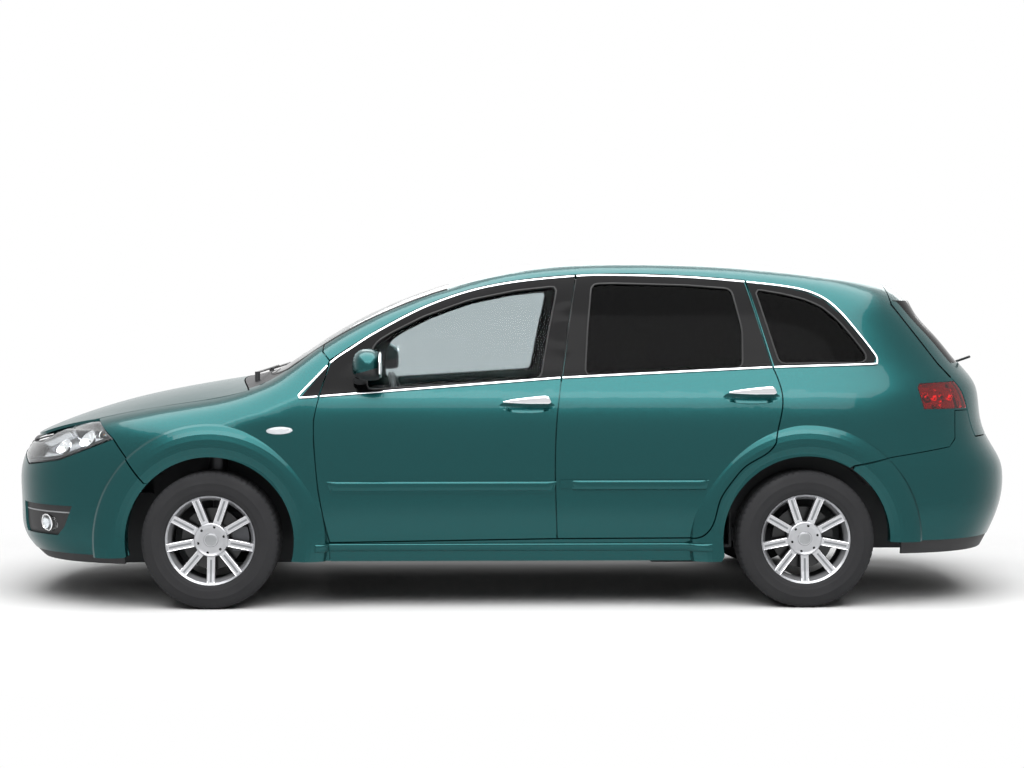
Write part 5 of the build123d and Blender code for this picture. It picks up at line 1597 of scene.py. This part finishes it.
@dataclass
class Cockpit:
    """What the driver sees and holds: dial hood, vents, radio, levers, pedals and inside mirror."""
    driver: float = -0.36
    face_x: float = -0.640
    dials: Flat = (-0.068, 0.068)
    vents: tuple[float, ...] = (-0.60, -0.085, 0.085, 0.60)
    slat_tilt: float = 0.35
    knobs: tuple[tuple[float, float, float], ...] = (
        (-0.075, 0.735, 0.013), (0.075, 0.735, 0.013), (-0.065, 0.640, 0.020), (0.0, 0.640, 0.020),
        (0.065, 0.640, 0.020))
    lever: Vector = field(default_factory=lambda: Vector((-0.46, 0, 0.560)))
    lever_way: Vector = field(default_factory=lambda: Vector((0.12, 0, 1)))
    mirror_tilt: float = 0.15
    pedals: tuple[float, ...] = (-0.44, -0.36, -0.28)
    pedal_tilt: float = 0.5

    def build(self) -> None:
        """Makes the cockpit's pieces."""
        self.shape_hood()
        self.cut_vents()
        self.fit_console()
        self.hang_mirror()
        self.fit_pedals()

    def shape_hood(self) -> None:
        """Arched hood over two dials."""
        path = [Vector((self.face_x - 0.035, self.driver + 0.16 * math.cos(a), 0.905 + 0.070 * math.sin(a)))
                for a in (math.pi * k / 16 for k in range(17))]
        hood = swept(path, [(-0.055, -0.006), (0.055, -0.006), (0.060, 0.0), (0.055, 0.006), (-0.055, 0.006)],
                     lambda i: (path[i] - Vector((path[i].x, self.driver, 0.88))).normalized())
        shop.piece("dial_hood", hood, "interior")
        face = [(0.0, 0.001), (0.048, 0.001), (0.051, 0.005), (0.054, 0.005), (0.055, -0.002)]
        ring = [(0.0515, 0.004), (0.053, 0.0065), (0.0545, 0.004)]
        for k, gap in enumerate(self.dials):
            spot = Vector((self.face_x + 0.001, self.driver + gap, 0.900))
            shop.piece(f"dial_{k}", lathed(face, spot, BACK, 40), "gloss_black")
            shop.piece(f"dial_ring_{k}", lathed(ring, spot, BACK, 40), "satin_silver")

    def cut_vents(self) -> None:
        """Four air vents with slats in bright frames."""
        loop = rounded(((-0.055, -0.03), (0.055, -0.03), (0.055, 0.03), (-0.055, 0.03)), 0.016)
        for k, y in enumerate(self.vents):
            centre = Vector((self.face_x + 0.002, y, 0.845))
            path = [centre + Vector((0, a, b)) for a, b in loop]
            border = swept(path, round_section(0.0035, 8), lambda i: BACK, looped=True)
            shop.piece(f"vent_frame_{k}", border, "satin_silver")
            slats = [rounded_block((0.012, 0.100, 0.003), 0.001, centre + UP * rise, self.slat_tilt, 2)
                     for rise in (-0.020, -0.010, 0.0, 0.010, 0.020)]
            shop.piece(f"vent_slats_{k}", merged(*slats), "gloss_black")

    def fit_console(self) -> None:
        """Radio with two knobs, heater knobs, gear lever with gaiter, hand brake."""
        panel = rounded_block((0.010, 0.200, 0.090), 0.006, Vector((-0.658, 0, 0.735)))
        shop.piece("radio_panel", panel, "gloss_black")
        knobs = []
        for y, z, radius in self.knobs:
            profile = [(0.0, 0.020), (radius * 0.8, 0.020), (radius * 0.92, 0.017), (radius, 0.0)]
            knobs.append(lathed(profile, Vector((-0.656, y, z)), BACK, 32))
        shop.piece("console_knobs", merged(*knobs), "satin_silver")
        gaiter = [(0.055, 0.0), (0.052, 0.012), (0.040, 0.024), (0.042, 0.034), (0.027, 0.046),
                  (0.028, 0.056), (0.012, 0.072), (0.010, 0.080)]
        shop.piece("gear_gaiter", lathed(gaiter, self.lever, self.lever_way, 40), "leather")
        knob = [(0.0, 0.135), (0.014, 0.133), (0.023, 0.122), (0.025, 0.108), (0.019, 0.092), (0.010, 0.080),
                (0.008, 0.070)]
        shop.piece("gear_knob", lathed(knob, self.lever, self.lever_way, 40), "gloss_black")
        path = smooth_line([(-0.12, 0.03, 0.572), (-0.18, 0.03, 0.590), (-0.27, 0.03, 0.612),
                            (-0.33, 0.03, 0.622)], 0.01)
        lever = swept(path, round_section(0.015, 14), lambda i: RIGHT,
                      shrink=lambda t: 0.75 + 0.25 * math.sin(math.pi * min(1, t * 1.2)) if t < 0.98 else 0.6)
        shop.piece("hand_brake", lever, "leather")

    def hang_mirror(self) -> None:
        """Inside mirror on a short stalk from the windscreen."""
        found = Skin("windscreen").cast(Vector((0.2, 0, 1.385)), AHEAD)
        if not found:
            return
        foot = found[0]
        head = foot + Vector((0.075, 0, -0.035))
        shell = rounded_block((0.030, 0.245, 0.062), 0.014, head, self.mirror_tilt, 4)
        stalk = bar(foot + BACK * 0.004, foot.lerp(head, 0.5) + DOWN * 0.004, head, 0.007, 12)
        shop.piece("inside_mirror", merged(shell, stalk), "black_plastic")
        spot = head + Vector((0.0155, 0, -0.002))
        glass = rounded_block((0.003, 0.230, 0.050), 0.001, spot, self.mirror_tilt, 2)
        shop.piece("inside_mirror_glass", glass, "reflector")

    def fit_pedals(self) -> None:
        """Three pedals on arms."""
        parts = []
        for y in self.pedals:
            pad = Vector((-0.80, y, 0.42))
            parts.append(rounded_block((0.014, 0.052, 0.062), 0.005, pad, self.pedal_tilt))
            arm = (Vector((x, y, z)) for x, z in ((-0.81, 0.44), (-0.84, 0.52), (-0.85, 0.64)))
            parts.append(bar(*arm, 0.006, 8))
        shop.piece("pedals", merged(*parts), "rubber")


@dataclass
class Repeater:
    """Oval clear lamp on the front wing."""
    flank: Flank
    side: Side
    middle: Flat = (-1.061, 0.811)
    length: float = 0.118
    height: float = 0.033
    slope: float = 0.03
    base: Flat = (0.0022, 0.0006)
    lens: Flat = (0.0065, 0.0012)
    bands: int = 6
    steps: int = 36

    def ring(self, share: float, crown: float, lift: float) -> list[Vector]:
        """One oval of the lamp, `share` of its full size, raised towards the middle by up to `crown`."""
        loop = []
        for turn in (2 * math.pi * j / self.steps for j in range(self.steps)):
            along = self.length / 2 * share * math.cos(turn)
            rise = self.height / 2 * share * math.sin(turn) + self.slope * along
            hit, normal = self.flank.place(self.middle[0] + along, self.middle[1] + rise)
            loop.append(hit + normal * (lift + crown * (1 - share ** 2.4)))
        return loop

    def build(self) -> None:
        """Makes the lamp's bright base and its domed lens."""
        for name, finish, (crown, lift) in (("base", "lamp_silver", self.base), ("lens", "lens", self.lens)):
            rings = [self.ring(1 - k / self.bands * 0.98, crown, lift) for k in range(self.bands + 1)]
            skirt = [self.flank.place(p.x, p.z)[0] + RIGHT * 0.002 for p in rings[0]]
            piece = shop.sided(f"repeater_{name}_{{}}", skinned([skirt, *rings]), finish, self.side)
        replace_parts(piece, "side_indicators")


@dataclass
class Moulding:
    """Long painted moulding on the flank with a rounded top shoulder and an undercut foot."""
    flank: Flank
    name: str
    body: str
    ends: Flat
    low: float
    high: float
    proud: float
    rake: float = 0.0
    lead: float = 0.02
    clear: float = 0.010

    def section(self, x: float, share: float) -> list[Vector]:
        """Outline of the moulding at one station.

        Args:
            x: station along the car.
            share: how far the moulding stands out, from 0 at its tips to 1.

        Returns:
            The outline from the top edge down to the foot and back inside.
        """
        low, high = self.low, self.high
        top = self.flank.depth(x, high + self.clear)
        foot = self.flank.depth(x, low - self.clear)
        outline = []
        for across, out in self.profile():
            skin = foot + (top - foot) * across
            outline.append(Vector((x, -(skin + out * self.proud * share), low + (high - low) * across)))
        return outline

    def profile(self) -> list[Flat]:
        """Shares of the height and of the standing out, from the top edge round to the foot."""
        turns = [math.pi / 2 * k / 6 for k in range(7)]
        rise = [(1 - 0.34 * (1 - math.cos(turn)), 0.15 + 0.85 * math.sin(turn)) for turn in turns]
        return [(1.0, -0.6), *rise, (0.36, 0.96), (0.14, 0.84), (0.05, 0.62), (0.0, 0.15), (0.0, -0.6)]

    def build(self, side: Side) -> None:
        """Makes the moulding on one side, thinner towards its tips."""
        first, last = self.ends
        count = max(8, int((last - first) / 0.02))
        rings = []
        for k in range(count + 1):
            x = first + (last - first) * k / count
            tip = min(1.0, (x - first) / self.lead, (last - x) / self.lead)
            ring = self.section(x, 0.25 + 0.75 * math.sin(math.pi / 2 * max(0.0, tip)))
            for p in ring:
                p.x += self.rake * (p.z - self.low) * (1 - 2 * k / count)
            rings.append(ring)
        shop.sided(f"{self.name}_{{}}", skinned(rings), "paint", side, self.body)


@dataclass
class ScreenBorder:
    """Black printed band round the windscreen, and rubber strips along its sides."""
    band: float = 0.042
    rows: int = 26
    inset: float = 0.006
    step: float = 0.004
    steps: range = range(60, 210)

    def build(self) -> None:
        """Finds the screen's edge from above and makes the band and the strips."""
        screen = Skin("windscreen")
        low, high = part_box("windscreen")

        def above(x: float, y: float) -> Spot:
            """The screen under a point, or its nearest place."""
            found = screen.cast(Vector((x, y, 2.0)), DOWN)
            if not found:
                hit, normal, _, _ = screen.tree.find_nearest(Vector((x, y, high.z)))
                found = hit, (normal if normal.z > 0 else -normal)
            return found

        outer = []
        for i in range(self.rows + 1):
            x = low.x + self.inset + (high.x - low.x - 2 * self.inset) * i / self.rows
            tried = [k * self.step for k in self.steps]
            reached = [y for y in tried if screen.cast(Vector((x, y, 2.0)), DOWN)]
            if reached:
                outer.append((x, max(reached) - 0.002))
        first, last = outer[0][0] + self.band * 2.4, outer[-1][0] - self.band * 1.4
        hole = [(x, half - self.band) for x, half in outer if first < x < last]
        ring, cut = ([*line, *[(x, -y) for x, y in reversed(line)]] for line in (outer, hole))
        mesh = conformed(ring, above, 0.0006, [rounded(cut, 0.05)], edge=0.0005)
        shop.piece("windscreen_band", mesh, "gloss_black")
        section = [(-0.010, -0.003), (-0.009, 0.0045), (0.0, 0.0065), (0.009, 0.0045), (0.010, -0.003)]
        for side in Side:
            spots = [above(x, side.value * half) for x, half in outer]
            strip = swept([hit for hit, _ in spots], section, lambda i: spots[i][1])
            shop.piece(f"windscreen_strip_{side.word}", strip, "rubber")


@dataclass
class Underside:
    """Trays with side walls under the engine and round the rear axle."""
    half: float = 0.352
    wall: float = 0.003
    wall_top: float = 0.56

    def build(self) -> None:
        """Makes both trays."""
        self.tray("engine_undertray", (-1.93, -0.99), 0.148, ((-1.93, -1.448), (-1.188, -0.99)))
        self.tray("rear_undertray", (1.06, 2.0), 0.21, ((1.06, 2.0),))

    def tray(self, name: str, ends: Flat, bottom: float, walls: Sequence[Flat]) -> None:
        """A flat tray with a wall on each hand.

        Args:
            name: of the piece.
            ends: where the tray starts and stops along the car.
            bottom: its height over the ground.
            walls: stretches of the side walls.
        """
        first, last = ends
        parts = [rounded_block((last - first, 2 * self.half, self.wall), 0.001,
                               Vector(((first + last) / 2, 0, bottom)), steps=1)]
        for start, end in walls:
            size = (end - start, self.wall, self.wall_top - bottom)
            for hand in (-1, 1):
                middle = Vector(((start + end) / 2, hand * self.half, (self.wall_top + bottom) / 2))
                parts.append(rounded_block(size, 0.001, middle, steps=1))
        shop.piece(name, merged(*parts), "underbody")


@dataclass
class TailgateTrim:
    """High brake lamp over the rear glass, and the grab bar over the bumper."""
    lamp_height: float = 1.416
    bar_height: float = 0.80
    points: int = 21

    def build(self) -> None:
        """Makes both on the tailgate."""
        gate = Skin("tailgate", "rear_window")
        self.band("tailgate_grab_bar", "chrome", gate, self.bar_height, 0.30, 0.016, 0.008)
        self.band("high_brake_lamp", "red_lens", gate, self.lamp_height, 0.14, 0.009, 0.004)

    def band(self, name: str, finish: str, gate: Skin, height: float, half: float, tall: float,
             proud: float) -> None:
        """Lays a slim crowned band across the tailgate.

        Args:
            name: of the piece.
            finish: of the piece.
            gate: surface it lies on.
            height: of its middle line.
            half: half its length.
            tall: half its height.
            proud: how far it stands out.
        """
        spots = []
        for k in range(self.points):
            share = 2 * k / (self.points - 1) - 1
            hit = gate.cast(Vector((2.8, half * share, height)), AHEAD)
            if hit:
                spots.append(hit)
        if len(spots) < 3:
            log.info("%s has no surface to lie on", name)
            return
        section = [(-tall, -0.003), (-tall, proud * 0.4), (-tall * 0.6, proud), (tall * 0.6, proud),
                   (tall, proud * 0.4), (tall, -0.003)]
        mesh = swept([spot for spot, _ in spots], section, lambda i: spots[i][1])
        shop.piece(name, mesh, finish, "tailgate")


@dataclass
class Shell:
    """The frame's own pieces in their finishes."""

    def build(self) -> None:
        """Dresses every frame node by its slot."""
        for row in frame["record"]["subparts"]:
            node = row["node"]
            shop.dress(node, "wheel_face" if node.endswith("_wheel") else row["material_slot"])
            frame["nodes"][node].data.shade_smooth()


@dataclass
class Studio:
    """Pale floor, soft lights, white surroundings and the camera."""
    eye: Vector = field(default_factory=lambda: Vector((-0.174, -8.865, 1.3215)))
    pitch: float = math.radians(2.158)
    yaw: float = math.radians(1.14)
    lens: float = 62.5
    sensor: float = 36.0
    floor_size: float = 60.0
    floor_colour: Colour = (0.60, 0.60, 0.60)
    oval: Flat = (3.6, 2.3)
    fade: Flat = (0.75, 1.25)
    sky: float = 0.14
    lamps: tuple[tuple[str, Place, Place, Flat, float], ...] = (
        ("overhead", (0.0, -2.1, 4.4), (0.0, -2.1, 0.4), (8.0, 7.4), 900),
        ("near_side", (-0.3, -7.5, 5.2), (0, 0, 0.9), (9.0, 2.2), 190),
        ("far_side", (1.5, 7.0, 4.4), (0, 0, 0.7), (8.0, 4.0), 280))

    def build(self) -> None:
        """Makes the floor, world, lamps and camera."""
        self.lay_floor()
        self.light_world()
        self.hang_lamps()
        self.set_camera()
        bpy.context.scene.view_settings.view_transform = "Standard"

    def lay_floor(self) -> None:
        """A pale floor that turns into the white background away from the car."""
        half = self.floor_size / 2
        corners = [(-half, -half, 0), (half, -half, 0), (half, half, 0), (-half, half, 0)]
        mesh = mesh_from(corners, [(0, 1, 2, 3)])
        floor = bpy.data.objects.new("floor_surface", mesh)
        bpy.context.scene.collection.objects.link(floor)
        graph = Graph("floor_paint")
        graph.set({"Base Color": (*self.floor_colour, 1), "Roughness": 0.9, "Specular IOR Level": 0.1})
        size = (1 / self.oval[0], 1 / self.oval[1], 1.0)
        oval = graph.spread(graph.add("ShaderNodeMapping", {"Scale": size}))
        far = graph.add("ShaderNodeVectorMath", operation="LENGTH")
        graph.link(oval, "Vector", far, 0)
        ends = {"From Min": self.fade[0], "From Max": self.fade[1]}
        fade = graph.add("ShaderNodeMapRange", ends, interpolation_type="SMOOTHSTEP")
        graph.link(far, "Value", fade, "Value")
        share = graph.folded("MULTIPLY", (fade, "Result"), (graph.pale_rays(), 0))
        white = graph.add("ShaderNodeEmission", {"Color": (1, 1, 1, 1), "Strength": 1.0})
        mix = graph.add("ShaderNodeMixShader")
        graph.link(share, 0, mix, 0)
        graph.link(graph.shader, "BSDF", mix, 1)
        graph.link(white, "Emission", mix, 2)
        graph.link(mix, 0, graph.output, "Surface")
        mesh.materials.append(graph.material)

    def light_world(self) -> None:
        """White for what the camera and reflections see, a soft grey as light."""
        world = bpy.data.worlds.new("surroundings")
        bpy.context.scene.world = world
        world.use_nodes = True
        sky = Tree(world.node_tree)
        span = sky.add("ShaderNodeMapRange", {"To Min": self.sky, "To Max": 1.0})
        sky.link(sky.pale_rays(), 0, span, "Value")
        light = sky.add("ShaderNodeBackground", {"Color": (1, 1, 1, 1)})
        sky.link(span, "Result", light, "Strength")
        sky.link(light, 0, sky.add("ShaderNodeOutputWorld"), "Surface")

    def hang_lamps(self) -> None:
        """A wide soft box over the near side, a long one in front of it, and one on the far side."""
        for name, place, aim, size, power in self.lamps:
            self.lamp(name, place, aim, size, power)

    def lamp(self, name: str, place: Place, aim: Place, size: Flat, power: float) -> None:
        """An area lamp that looks at a point."""
        data = bpy.data.lights.new(name, "AREA")
        data.shape = "RECTANGLE"
        data.size, data.size_y = size
        data.energy = power
        lamp = bpy.data.objects.new(name, data)
        bpy.context.scene.collection.objects.link(lamp)
        lamp.location = place
        lamp.rotation_mode = "QUATERNION"
        lamp.rotation_quaternion = (Vector(aim) - Vector(place)).to_track_quat("-Z", "Y")

    def set_camera(self) -> None:
        """A level side view from the car's left, a little below the roof."""
        data = bpy.data.cameras.new("camera")
        data.lens, data.sensor_width = self.lens, self.sensor
        camera = bpy.data.objects.new("camera", data)
        bpy.context.scene.collection.objects.link(camera)
        camera.location = self.eye
        camera.rotation_euler = (math.pi / 2 - self.pitch, 0, -self.yaw)
        bpy.context.scene.camera = camera


def main() -> None:
    """Builds the car's looks in order and reports each piece."""
    logging.basicConfig(level=logging.INFO, format="%(message)s")
    Shell().build()
    flank = Flank()
    trim = WindowTrim(flank)
    mouldings = (
        Moulding(flank, "front_rubbing_strip", "front_{}_door", (-0.835, 0.172), 0.536, 0.582, 0.0135,
                 rake=-0.3),
        Moulding(flank, "rear_rubbing_strip", "rear_{}_door", (0.258, 0.862), 0.541, 0.587, 0.0135,
                 rake=-0.3),
        Moulding(flank, "sill_rail", "body", (-0.90, 0.89), 0.262, 0.298, 0.012, clear=-0.002))
    for side in Side:
        trim.build(side)
        DoorMirror(side).build()
        Repeater(flank, side).build()
        for moulding in mouldings:
            moulding.build(side)
        Headlamp(side).build()
        TailLamp(side).build()
        FogLamp(side).build()
        for end in End:
            DoorHandle(end, side).build()
            Wheel(end, side).build()
    Upholstery().build()
    Cockpit().build()
    ScreenBorder().build()
    Underside().build()
    TailgateTrim().build()
    Studio().build()


if __name__ == "__main__":
    main()
